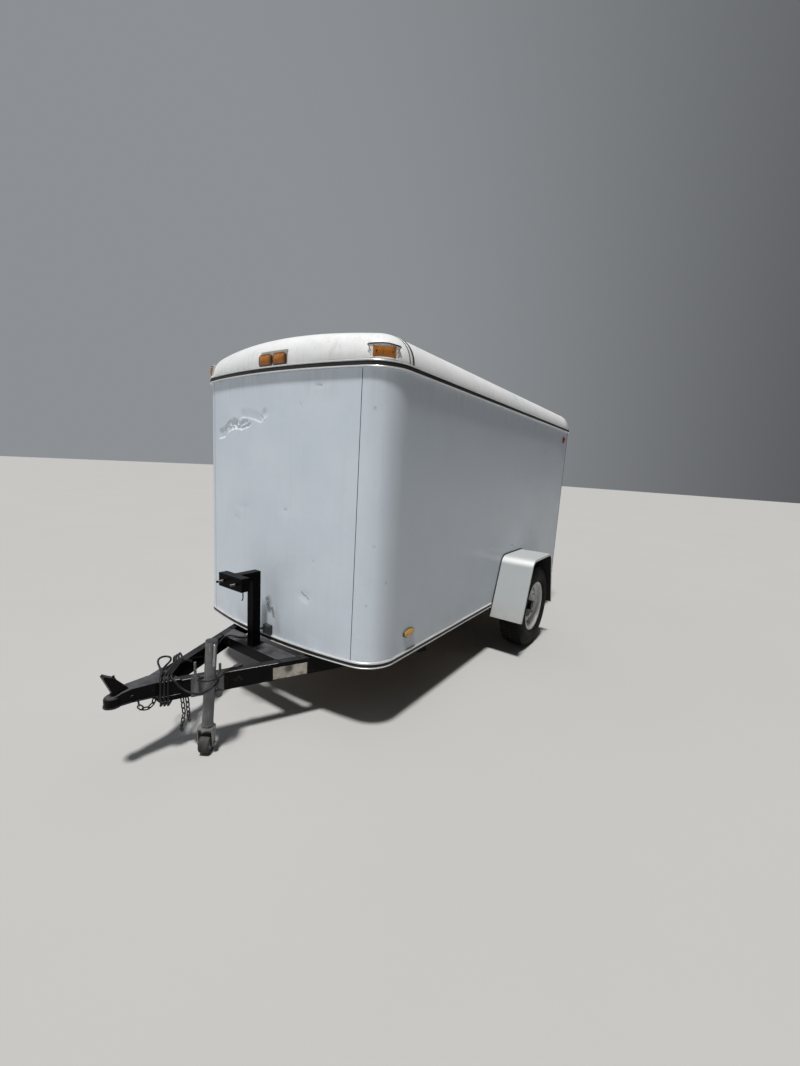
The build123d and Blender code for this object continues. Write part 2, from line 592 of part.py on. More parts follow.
# ---------------------------------------------------------------- fenders
for name, side in (("fender_left", 1), ("fender_right", -1)):
    yc = st(FENDER_Y)
    slope = (FENDER_HALF_BOTTOM - FENDER_HALF_TOP) / (FENDER_TOP - FENDER_BOTTOM)
    with BuildPart() as fender:
        with BuildSketch(Plane.YZ.offset(side * HALF_W)):
            with BuildLine() as fender_line:
                FilletPolyline((yc - FENDER_HALF_BOTTOM, FENDER_BOTTOM), (yc - FENDER_HALF_TOP, FENDER_TOP),
                               (yc + FENDER_HALF_TOP, FENDER_TOP), (yc + FENDER_HALF_BOTTOM, FENDER_BOTTOM), radius=FENDER_BEND)
                Line((yc + FENDER_HALF_BOTTOM, FENDER_BOTTOM), (yc - FENDER_HALF_BOTTOM, FENDER_BOTTOM))
            make_face()
            with BuildLine():
                g = FENDER_T
                FilletPolyline((yc - FENDER_HALF_BOTTOM + g * 1.06 - slope * 20, FENDER_BOTTOM - 20),
                               (yc - FENDER_HALF_TOP + g * 0.74, FENDER_TOP - g),
                               (yc + FENDER_HALF_TOP - g * 0.74, FENDER_TOP - g),
                               (yc + FENDER_HALF_BOTTOM - g * 1.06 + slope * 20, FENDER_BOTTOM - 20),
                               radius=FENDER_BEND - g)
                Line((yc + FENDER_HALF_BOTTOM - g * 1.06 + slope * 20, FENDER_BOTTOM - 20),
                     (yc - FENDER_HALF_BOTTOM + g * 1.06 - slope * 20, FENDER_BOTTOM - 20))
            make_face(mode=Mode.SUBTRACT)
        extrude(amount=side * (FENDER_OUT - HALF_W))
        # inturned outer lip
        with BuildSketch(Plane.YZ.offset(side * (FENDER_OUT - FENDER_T))):
            with BuildLine():
                FilletPolyline((yc - FENDER_HALF_BOTTOM, FENDER_BOTTOM), (yc - FENDER_HALF_TOP, FENDER_TOP),
                               (yc + FENDER_HALF_TOP, FENDER_TOP), (yc + FENDER_HALF_BOTTOM, FENDER_BOTTOM), radius=FENDER_BEND)
                Line((yc + FENDER_HALF_BOTTOM, FENDER_BOTTOM), (yc - FENDER_HALF_BOTTOM, FENDER_BOTTOM))
            make_face()
            with BuildLine():
                g = 17.0
                FilletPolyline((yc - FENDER_HALF_BOTTOM + g * 1.06 - slope * 20, FENDER_BOTTOM - 20),
                               (yc - FENDER_HALF_TOP + g * 0.74, FENDER_TOP - g),
                               (yc + FENDER_HALF_TOP - g * 0.74, FENDER_TOP - g),
                               (yc + FENDER_HALF_BOTTOM - g * 1.06 + slope * 20, FENDER_BOTTOM - 20),
                               radius=FENDER_BEND - g)
                Line((yc + FENDER_HALF_BOTTOM - g * 1.06 + slope * 20, FENDER_BOTTOM - 20),
                     (yc - FENDER_HALF_BOTTOM + g * 1.06 - slope * 20, FENDER_BOTTOM - 20))
            make_face(mode=Mode.SUBTRACT)
        extrude(amount=side * FENDER_T)
    save(fender.part, name)

# ---------------------------------------------------------------- lamps
LAMP_Z = 1966.0
PAIR_X = 36.0      # the centre pair sits off the middle, towards the street side
with BuildPart() as amber_lamps:
    # centre pair on the cap
    with Locations((PAIR_X - 55, st(8), LAMP_Z), (PAIR_X + 55, st(8), LAMP_Z)):
        Box(104, 36, 62)
    # corner pair, square to the corner moulding
    k = plan_keys(0)
    for side in (1, -1):
        a = math.radians(-47)
        cx = k["centre"][0] + (CORNER_R - 2) * math.cos(a)
        cy = k["centre"][1] + (CORNER_R - 2) * math.sin(a)
        with Locations(Plane((side * cx, cy, LAMP_Z), x_dir=(0, 0, 1), z_dir=(side * math.cos(a), math.sin(a), 0))):
            Box(52, 108, 32)
    # side markers, low and forward
    for side in (1, -1):
        with Locations(Plane((side * HALF_W, st(382), 512), x_dir=(0, 1, 0), z_dir=(side, 0, 0))):
            with BuildSketch(Plane(origin=(side * HALF_W, st(382), 512), x_dir=(0, 1, 0), z_dir=(side, 0, 0))):
                Ellipse(52, 24)
        extrude(amount=18)
    # keep what stands out of the shell
    add(roof_front_cap.part, mode=Mode.SUBTRACT)
    with BuildSketch(Plane.XY.offset(400)):
        with BuildLine():
            outline(6, BODY_REAR)
        make_face()
    extrude(amount=1700, mode=Mode.SUBTRACT)
save(amber_lamps.part, "amber_lamps")

with BuildPart() as red_lamps:
    for side in (1, -1):
        with Locations(Plane((side * HALF_W, st(3130), 1802), z_dir=(side, 0, 0))):
            Cylinder(32, 20, align=(Align.CENTER, Align.CENTER, Align.MIN))
        # tail lamps low on the rear sill
        with Locations((side * 640, st(BODY_REAR) + 11, 408)):
            Box(150, 22, 52)
    # identification lamps on the header
    with Locations((-130, st(BODY_REAR) + 8, 1990), (0, st(BODY_REAR) + 8, 1990), (130, st(BODY_REAR) + 8, 1990)):
        Box(64, 16, 30)
save(red_lamps.part, "red_lamps")

# ---------------------------------------------------------------- rear doors
HINGE_Y = st(BODY_REAR) + HINGE_OUT
DOOR_OUT_X = OPEN_HALF - DOOR_GAP
DOOR_BOTTOM = OPEN_BOTTOM + DOOR_GAP
DOOR_TOP = OPEN_TOP - DOOR_GAP
HINGE_Z = (620.0, 1165.0, 1710.0)
LOCK_X = 130.0
LOCK_Y = st(BODY_REAR) + 24
for name, side in (("rear_door_left", 1), ("rear_door_right", -1)):
    with BuildPart() as rear_door:
        with BuildSketch(Plane.XY.offset(DOOR_BOTTOM)):
            Polygon((side * DOOR_OUT_X, st(BODY_REAR)), (side * 2.8, st(BODY_REAR)),
                    (side * 11, st(BODY_REAR) - REAR_DOOR_T), (side * DOOR_OUT_X, st(BODY_REAR) - REAR_DOOR_T), align=None)
        extrude(amount=DOOR_TOP - DOOR_BOTTOM)
        # strap hinges: strap on the door's face, barrel round the pin
        for z in HINGE_Z:
            with Locations((side * (HINGE_X - 128), st(BODY_REAR) + 4, z)):
                Box(200, 8, 44)
            with Locations((side * (HINGE_X - 22), HINGE_Y - 8, z)):
                Box(34, 8, 44)
            with Locations((side * (HINGE_X - 36), st(BODY_REAR) + 8, z)):
                Box(8, 16, 44)
            with Locations((side * HINGE_X, HINGE_Y, z - 22)):
                Cylinder(11, 44, align=(Align.CENTER, Align.CENTER, Align.MIN))
            with Locations((side * HINGE_X, HINGE_Y, z - 30)):
                Cylinder(6.05, 60, align=(Align.CENTER, Align.CENTER, Align.MIN), mode=Mode.SUBTRACT)
    save(rear_door.part, name)

    # cam bar with its guides and swing handle
    with BuildPart() as lock_bar:
        with Locations((side * LOCK_X, LOCK_Y, DOOR_BOTTOM - 28)):
            Cylinder(11, DOOR_TOP - DOOR_BOTTOM + 56, align=(Align.CENTER, Align.CENTER, Align.MIN))
        for z in (DOOR_BOTTOM + 90, 1000, 1330, DOOR_TOP - 90):
            with Locations((side * LOCK_X, (st(BODY_REAR) + LOCK_Y) / 2 + 4, z)):
                Box(44, LOCK_Y - st(BODY_REAR) + 8, 36)
        with Locations((side * (LOCK_X + 95), LOCK_Y + 8, 1150)):
            Box(190, 12, 26)
        with Locations((side * (LOCK_X + 150), st(BODY_REAR) + 13, 1150)):
            Box(30, 26, 40)
        with Locations((side * LOCK_X, LOCK_Y, 1150)):
            Cylinder(17, 46)
        for z in (DOOR_BOTTOM - 26, DOOR_TOP + 14):
            with Locations((side * LOCK_X, LOCK_Y + 12, z + 6)):
                Box(30, 16, 12)
    save(lock_bar.part, "lock_bar_" + name.split("_")[-1])

# the frame's half of the hinges, and the keepers of the cam bars
with BuildPart() as rear_hinges:
    for side in (1, -1):
        for z in HINGE_Z:
            with Locations((side * HINGE_X, HINGE_Y, z - 46)):
                Cylinder(6, 92, align=(Align.CENTER, Align.CENTER, Align.MIN))
            for dz in (-34.5, 34.5):
                with Locations((side * HINGE_X, HINGE_Y, z + dz)):
                    Cylinder(11, 23)
                with Locations((side * HINGE_X, st(BODY_REAR) + 8, z + dz)):
                    Box(26, 16, 23)
        for z0, z1 in ((DOOR_BOTTOM - 52, DOOR_BOTTOM - 34), (DOOR_TOP + 34, DOOR_TOP + 52)):
            with Locations((side * LOCK_X, st(BODY_REAR) + 18, (z0 + z1) / 2)):
                Box(70, 36, z1 - z0)
save(rear_hinges.part, "rear_hinges")

PLATE_X = 380.0
PLATE_HOLES = 178.0            # spacing of a licence plate's top holes
with BuildPart() as plate_bracket:
    with Locations((PLATE_X, st(BODY_REAR) + 10.5, 408)):
        Box(230, 3, 34)
    with Locations((PLATE_X - 40, st(BODY_REAR) + 4.5, 408), (PLATE_X + 40, st(BODY_REAR) + 4.5, 408)):
        Box(26, 9, 34)
    with Locations(Plane((PLATE_X - PLATE_HOLES / 2, st(BODY_REAR) + 10, 410), z_dir=(0, 1, 0)),
                   Plane((PLATE_X + PLATE_HOLES / 2, st(BODY_REAR) + 10, 410), z_dir=(0, 1, 0))):
        Cylinder(3.5, 20, mode=Mode.SUBTRACT)
save(plate_bracket.part, "plate_bracket")

# ---------------------------------------------------------------- side door
SD_AX_X = -HALF_W - SD_HINGE_OUT
SD_AX_Y = st(SD_FRONT - 4)
SD_HINGE_Z = (600.0, 1145.0, 1690.0)
with BuildPart() as side_door:
    with Locations((-HALF_W + SD_T / 2, st((SD_FRONT + SD_REAR) / 2 - 0.75), (SD_BOTTOM + SD_TOP) / 2)):
        Box(SD_T, SD_REAR - SD_FRONT - 2 * SD_GAP - 1.5, SD_TOP - SD_BOTTOM - 2 * SD_GAP)
    for z in SD_HINGE_Z:
        with Locations((-HALF_W - 2, st(SD_FRONT + SD_GAP + 34), z)):
            Box(4, 60, 60)
        with Locations((-HALF_W - 8, st(SD_FRONT + 8), z)):
            Box(6, 12, 24)
        with Locations((-HALF_W - 5.5, st(SD_FRONT + 12), z)):
            Box(11, 8, 24)
        with Locations((SD_AX_X, SD_AX_Y, z - 12)):
            Cylinder(7, 24, align=(Align.CENTER, Align.CENTER, Align.MIN))
        with Locations((SD_AX_X, SD_AX_Y, z - 20)):
            Cylinder(4.05, 40, align=(Align.CENTER, Align.CENTER, Align.MIN), mode=Mode.SUBTRACT)
save(side_door.part, "side_door")

with BuildPart() as side_door_latch:
    with Locations((-HALF_W - 3, st(SD_REAR - 75), 1080)):
        Box(6, 96, 150)
    with Locations((-HALF_W - 14, st(SD_REAR - 92), 1100)):
        Box(16, 26, 90)
    with Locations((-HALF_W - 10, st(SD_REAR - 50), 1040)):
        Box(8, 24, 24)
save(side_door_latch.part, "side_door_latch")

with BuildPart() as side_hinges:
    for z in SD_HINGE_Z:
        with Locations((SD_AX_X, SD_AX_Y, z - 30)):
            Cylinder(4, 60, align=(Align.CENTER, Align.CENTER, Align.MIN))
        for dz in (-21.5, 21.5):
            with Locations((SD_AX_X, SD_AX_Y, z + dz)):
                Cylinder(7, 17)
            with Locations((-HALF_W - 5.5, SD_AX_Y - 3, z + dz)):
                Box(11, 8, 17)
        with Locations((-HALF_W - 2, st(SD_FRONT - 36), z)):
            Box(4, 56, 60)
save(side_hinges.part, "side_hinges")

# ---------------------------------------------------------------- jack
LEAN_DIR = Vector(JACK_LEAN * DIR_X, JACK_LEAN * DIR_Y, 1).normalized()


def jack_axis_at(z):
    """Plane square to the jack's leaning axis, at height z."""
    d = (z - JACK_BOTTOM) * JACK_LEAN
    return Plane((JACK_X + d * DIR_X, st(JACK_Y) + d * DIR_Y, z), x_dir=(DIR_X, DIR_Y, -JACK_LEAN), z_dir=LEAN_DIR)


# foot of the jack's axis on the rail's outer face, and its distance from it
mount_at = jack_axis_at(JACK_MOUNT_Z).origin
JACK_OUT = (mount_at.X - rail_point(mount_at.Y + Y0)[0]) * OUT_X
face_x, face_y = mount_at.X - JACK_OUT * OUT_X, mount_at.Y - JACK_OUT * OUT_Y
jack_frame = Plane((face_x, face_y, TONGUE_TOP), x_dir=(DIR_X, DIR_Y, 0), z_dir=(0, 0, 1))
UP = (Align.CENTER, Align.CENTER, Align.MIN)
with BuildPart() as jack_tube:
    with Locations(jack_axis_at(JACK_BOTTOM)):
        Cylinder(JACK_TUBE_R, JACK_TOP - JACK_BOTTOM, align=UP)
        Cylinder(JACK_TUBE_R + 1.5, 8, align=UP)
    with Locations(jack_axis_at(JACK_TOP - 14)):
        Cylinder(JACK_TUBE_R + 1.2, 24, align=UP)
    with Locations(jack_axis_at(JACK_BOTTOM - 1)):
        Cylinder(JACK_BORE_R, JACK_TOP - JACK_BOTTOM - 8, align=UP, mode=Mode.SUBTRACT)
save(jack_tube.part, "jack_tube")

with BuildPart() as jack_mount:
    # face plate on the rail, saddle out to the tube, clamp bars either side
    with BuildSketch(jack_frame.offset(-TONGUE_H - 2)):
        with Locations((0, -3.2)):
            Rectangle(150, 6)
    extrude(amount=TONGUE_H + 8)
    with BuildSketch(jack_frame.offset(-88)):
        with Locations((0, -JACK_OUT / 2 - 3)):
            Rectangle(44, JACK_OUT - 6.2)
    extrude(amount=76)
    # columns: place along the rail, top of its stud above the rail's top
    for u, stud_top in ((-CLAMP_U, 88), (CLAMP_U, 62)):
        with BuildSketch(jack_frame.offset(-74)):
            with Locations((u, -16)):
                Rectangle(26, 20)
        extrude(amount=84)
        with BuildSketch(jack_frame.offset(8)):
            with Locations((u, -16)):
                Circle(6.35)
        extrude(amount=stud_top - 8)
        with BuildSketch(jack_frame.offset(10)):
            with Locations((u, -16)):
                RegularPolygon(11, 6)
        extrude(amount=11)
    # round boss of the swivel pin, low behind the tube
    with Locations(Plane((face_x + 46 * DIR_X, face_y + 46 * DIR_Y, 268), z_dir=(OUT_X, OUT_Y, 0))):
        Cylinder(19, 34, align=UP)
    with Locations(jack_axis_at(200)):
        Cylinder(JACK_TUBE_R + 0.02, 300, align=UP, mode=Mode.SUBTRACT)
    # nothing of it reaches inside the rail's outer face
    with Locations(jack_frame):
        with Locations((0, 100.2 - 0.1, 0)):
            Box(400, 200, 600, mode=Mode.SUBTRACT)
save(jack_mount.part, "jack_mount")

# leg with the caster's fork under it: crown plate, two arms and the axle
CASTER_X, CASTER_Y = 0.8229, 0.5682                  # along the caster's axle
caster_at = jack_axis_at(CASTER_R).origin
caster_plan = Plane((caster_at.X, caster_at.Y, 0), x_dir=(CASTER_X, CASTER_Y, 0), z_dir=(0, 0, 1))
caster_side = Plane((caster_at.X, caster_at.Y, CASTER_R), x_dir=(-CASTER_Y, CASTER_X, 0),
                    z_dir=(CASTER_X, CASTER_Y, 0))
ARM_IN, ARM_OUT = 33.0, 37.0
with BuildPart() as jack_leg:
    with Locations(jack_axis_at(130)):
        Cylinder(JACK_LEG_R, 404, align=UP)
    with Locations(jack_axis_at(146)):
        Cylinder(JACK_LEG_R - 4, 400, align=UP, mode=Mode.SUBTRACT)
    with BuildSketch(caster_plan.offset(128)):
        RectangleRounded(2 * ARM_OUT, 52, 6)
    extrude(amount=7)
    for v in (-ARM_OUT, ARM_IN):
        with BuildSketch(caster_side.offset(v)):
            Polygon((-22, 130 - CASTER_R), (22, 130 - CASTER_R), (14, -4), (8, -13), (-8, -13), (-14, -4), align=None)
        extrude(amount=ARM_OUT - ARM_IN)
    with Locations(caster_side.offset(-ARM_OUT - 9)):
        Cylinder(6, 2 * ARM_OUT + 18, align=UP)
    for v in (-ARM_OUT - 7, ARM_OUT):
        with BuildSketch(caster_side.offset(v)):
            RegularPolygon(11, 6)
        extrude(amount=7)
save(jack_leg.part, "jack_leg")

with BuildPart() as jack_wheel:
    hw = CASTER_W / 2
    # section through the axle: u is radius, v is along the axle
    with BuildSketch(Plane((caster_at.X, caster_at.Y, CASTER_R), x_dir=(0, 0, 1), z_dir=(CASTER_Y, -CASTER_X, 0))):
        Polygon((6.05, -hw - 2), (14, -hw - 2), (14, -hw + 4), (30, -hw + 4), (33, -hw), (CASTER_R - 5, -hw),
                (CASTER_R - 1.5, -hw + 3), (CASTER_R, -hw + 8), (CASTER_R, hw - 8), (CASTER_R - 1.5, hw - 3),
                (CASTER_R - 5, hw), (33, hw), (30, hw - 4), (14, hw - 4), (14, hw + 2), (6.05, hw + 2), align=None)
    revolve(axis=Axis((caster_at.X, caster_at.Y, CASTER_R), (CASTER_X, CASTER_Y, 0)))
save(jack_wheel.part, "jack_wheel")
print("caster", caster_at)

# crank: comes out of the cap's side, hangs beside the tube, dark knob at its end
with BuildPart() as jack_crank:
    CR = 5.0
    CRANK_OUT = 38.5
    cap_at = jack_axis_at(JACK_TOP - 2).origin
    arm_x, arm_y = 0.983, -0.184
    start = cap_at + Vector(arm_x, arm_y, 0) * (JACK_TUBE_R + 3.05)
    corner = cap_at + Vector(arm_x, arm_y, 0) * CRANK_OUT
    with BuildLine():
        FilletPolyline((start.X, start.Y, start.Z), (corner.X, corner.Y, corner.Z),
                       (corner.X - 4 * DIR_X, corner.Y - 4 * DIR_Y, corner.Z - 84), radius=5.5)
    with BuildSketch(Plane((start.X, start.Y, start.Z), z_dir=(arm_x, arm_y, 0))):
        Circle(CR)
    sweep()
    with Locations((corner.X - 4 * DIR_X, corner.Y - 4 * DIR_Y, corner.Z - 74)):
        Cylinder(7, 27, align=(Align.CENTER, Align.CENTER, Align.MAX))
save(jack_crank.part, "jack_crank")

# ---------------------------------------------------------------- wiring and chains
with BuildPart() as junction_box:
    with Locations((32, st(-12.6), 445)):
        Box(54, 24, 52)
save(junction_box.part, "junction_box")


def rail_uv(u, out, z):
    """Point by distance along the rail from the jack, distance outward and height."""
    return (face_x + u * DIR_X + out * OUT_X, face_y + u * DIR_Y + out * OUT_Y, z)


# Cable: out of the junction box, behind the post, along the right rail, a loose loop
# on the saddle, turns round the whole tongue, down to the jack and once round its
# tube, then its plug on the left rail's top. Rows are x, station and height.
CABLE_R = 5.0
ROUTE = [(5, -14.6, 440), (-22, -15, 438), (-50, -22, 416), (-72, -38, 386), (-104, -62, 368), (-150, -88, 366),
         (-186, -104, 374), (-214, -132, 366), (-228, -160, 334), (-236, -194, 294), (-220, -234, 276),
         (-204, -271, 287), (-180, -327, 313), (-147, -380, 336), (-112, -397, 334), (-84, -413, 349),
         (-70, -436, 371), (-66, -474, 378), (-44, -510, 376), (-12, -532, 375), (9, -557, 375), (-3, -586, 375.5),
         (-34, -590, 376), (-62, -566, 377), (-86, -534, 378), (-110, -504, 380), (-140, -494, 384),
         (-162, -516, 388), (-150, -548, 390), (-110, -572, 389), (-50, -590, 388), (16, -612, 389),
         (48.3, -639, 392), (71.3, -645, 374), (68.3, -648, 322), (71.3, -647, 268), (50.3, -641, 243),
         (-6, -586, 238), (-66.2, -531, 238), (-123.4, -480, 243), (-144.4, -478, 267), (-141.4, -476, 318),
         (-145.4, -474, 372), (-122.4, -476, 391), (-50, -508, 395), (22, -583, 394), (54.9, -625, 392),
         (77.9, -631, 374), (74.9, -634, 322), (77.9, -633, 268), (56.9, -627, 240), (-4.2, -571, 234),
         (-69.3, -515, 234), (-131.4, -463, 240), (-152.4, -461, 267), (-149.4, -459, 318), (-153.4, -457, 372),
         (-130.4, -459, 391), (-52, -491, 395), (24, -569, 394), (61.4, -611, 392), (84.4, -617, 374),
         (81.4, -620, 322), (84.4, -619, 268), (63.4, -613, 237), (-2.5, -556, 230), (-72.5, -499, 230),
         (-139.4, -446, 237), (-160.4, -444, 267), (-157.4, -442, 318), (-161.4, -440, 372), (-138.4, -442, 391),
         (-54, -474, 395), (26, -555, 394), (64, -601, 390), (97.2, -591.6, 366), (115.7, -578.2, 340),
         (139.5, -562.9, 322), (174.9, -546.4, 316), (210.3, -532.1, 321), (241.2, -511.3, 341),
         (250.2, -477.9, 362), (230.7, -448.9, 368), (193.9, -442.6, 370), (165.2, -475.5, 371),
         (165.2, -513.1, 376), (192.5, -534.8, 384), (229, -527.7, 390), (253.3, -494.9, 393), (250.5, -453.8, 392),
         (224.7, -419.5, 387), (195.4, -392.5, 381), (173.3, -368.8, 373), (166.5, -345.7, 367.3),
         (167.9, -328.7, 367.3)]
CABLE = [(x, st(y), z) for x, y, z in ROUTE]
radii = []
for i in range(1, len(CABLE) - 1):
    a, b, c = Vector(*CABLE[i - 1]), Vector(*CABLE[i]), Vector(*CABLE[i + 1])
    turn = math.radians((b - a).get_angle(c - b))
    radii.append(0.45 * min((b - a).length, (c - b).length) / math.tan(turn / 2))
print("cable radii", [round(r) for r in radii])
print("cable runs", [round((Vector(*CABLE[i + 1]) - Vector(*CABLE[i])).length) for i in range(len(CABLE) - 1)])
with BuildPart() as trailer_cable:
    with BuildLine() as cable_line:
        FilletPolyline(*CABLE, radius=radii)
    with BuildSketch(Plane(CABLE[0], z_dir=(Vector(*CABLE[1]) - Vector(*CABLE[0])).normalized())):
        Circle(CABLE_R)
    sweep()
cable_length = sum(e.length for e in cable_line.edges())
print("cable length", round(cable_length), "volume ratio",
      round(trailer_cable.part.volume / (cable_length * math.pi * CABLE_R ** 2), 4))
save(trailer_cable.part, "trailer_cable")

PLUG_DIR = (Vector(*CABLE[-1]) - Vector(*CABLE[-2])).normalized()
with BuildPart() as cable_plug:
    plug_plane = Plane(CABLE[-1], x_dir=Vector(0, 0, 1).cross(PLUG_DIR), z_dir=PLUG_DIR)
    with BuildSketch(plug_plane):
        Rectangle(26, 13)
    extrude(amount=46)
save(cable_plug.part, "cable_plug")

# Chains: outer shape of each hanging strand, its hook and the bundle under the coupler.
CHAIN_R = 8.0
HANG_A = [(58, st(-541), 252), (66, st(-541), 215), (73, st(-541), 178), (62, st(-541), 130), (48, st(-541), 92)]
HANG_B = [(84, st(-530), 256), (90, st(-530), 215), (94, st(-530), 182), (97, st(-530), 158)]
LOOP = [(31, st(-655), 290), (32, st(-668), 262), (27, st(-694), 250), (20, st(-716), 264), (15, st(-722), 298)]
with BuildPart() as safety_chains:
    for path in (HANG_A, HANG_B, LOOP):
        with BuildLine():
            FilletPolyline(*path, radius=10)
        with BuildSketch(Plane(path[0], z_dir=(Vector(*path[1]) - Vector(*path[0])).normalized())):
            Circle(CHAIN_R)
        sweep()
    with Locations((48, st(-541), 66), (97, st(-530), 134)):
        Box(10, 34, 34, align=UP)
save(safety_chains.part, "safety_chains")

print("overall length", REARMOST - COUPLER_NOSE, "Y0", Y0)
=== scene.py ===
import bpy
import bmesh
import math
import numpy as np
from mathutils import Vector, Matrix, noise


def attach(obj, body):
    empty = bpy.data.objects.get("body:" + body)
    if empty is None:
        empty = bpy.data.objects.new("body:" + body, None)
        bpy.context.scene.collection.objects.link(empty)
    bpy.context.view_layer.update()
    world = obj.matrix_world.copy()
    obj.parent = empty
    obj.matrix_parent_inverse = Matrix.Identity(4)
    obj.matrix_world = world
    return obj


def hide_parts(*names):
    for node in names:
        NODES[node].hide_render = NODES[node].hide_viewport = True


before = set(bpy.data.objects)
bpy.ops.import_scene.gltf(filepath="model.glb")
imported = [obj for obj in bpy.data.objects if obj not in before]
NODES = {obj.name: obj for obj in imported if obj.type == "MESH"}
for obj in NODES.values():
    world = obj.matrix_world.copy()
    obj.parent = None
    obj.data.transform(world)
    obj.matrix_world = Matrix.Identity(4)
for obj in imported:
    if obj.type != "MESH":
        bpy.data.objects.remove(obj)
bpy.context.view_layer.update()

# Row frame in metres; "stations" are millimetres behind the nose of the bowed front wall.
Y0 = 1228.0


def P(x, station, z):
    return Vector((x / 1000, (station - Y0) / 1000, z / 1000))


def Y(station):
    return (station - Y0) / 1000


# ------------------------------------------------------------------ camera
YAW, PITCH, ROLL = -0.6045, 0.1548, 0.0594
look = Vector((math.sin(YAW) * math.cos(PITCH), math.cos(YAW) * math.cos(PITCH), -math.sin(PITCH)))
right = look.cross(Vector((0, 0, 1))).normalized()
up = right.cross(look)
right_r = right * math.cos(ROLL) + up * math.sin(ROLL)
up_r = up * math.cos(ROLL) - right * math.sin(ROLL)
cam_data = bpy.data.cameras.new("camera")
cam_data.sensor_fit = "AUTO"
cam_data.sensor_width = 36.0
cam_data.lens = 427.19 / 1066 * 36.0
cam_data.clip_end = 200
cam = bpy.data.objects.new("camera", cam_data)
bpy.context.scene.collection.objects.link(cam)
m = Matrix((right_r, up_r, -look)).transposed().to_4x4()
m.translation = Vector((2.0064, -2.7873, 1.4371))
cam.matrix_world = m
bpy.context.scene.camera = cam


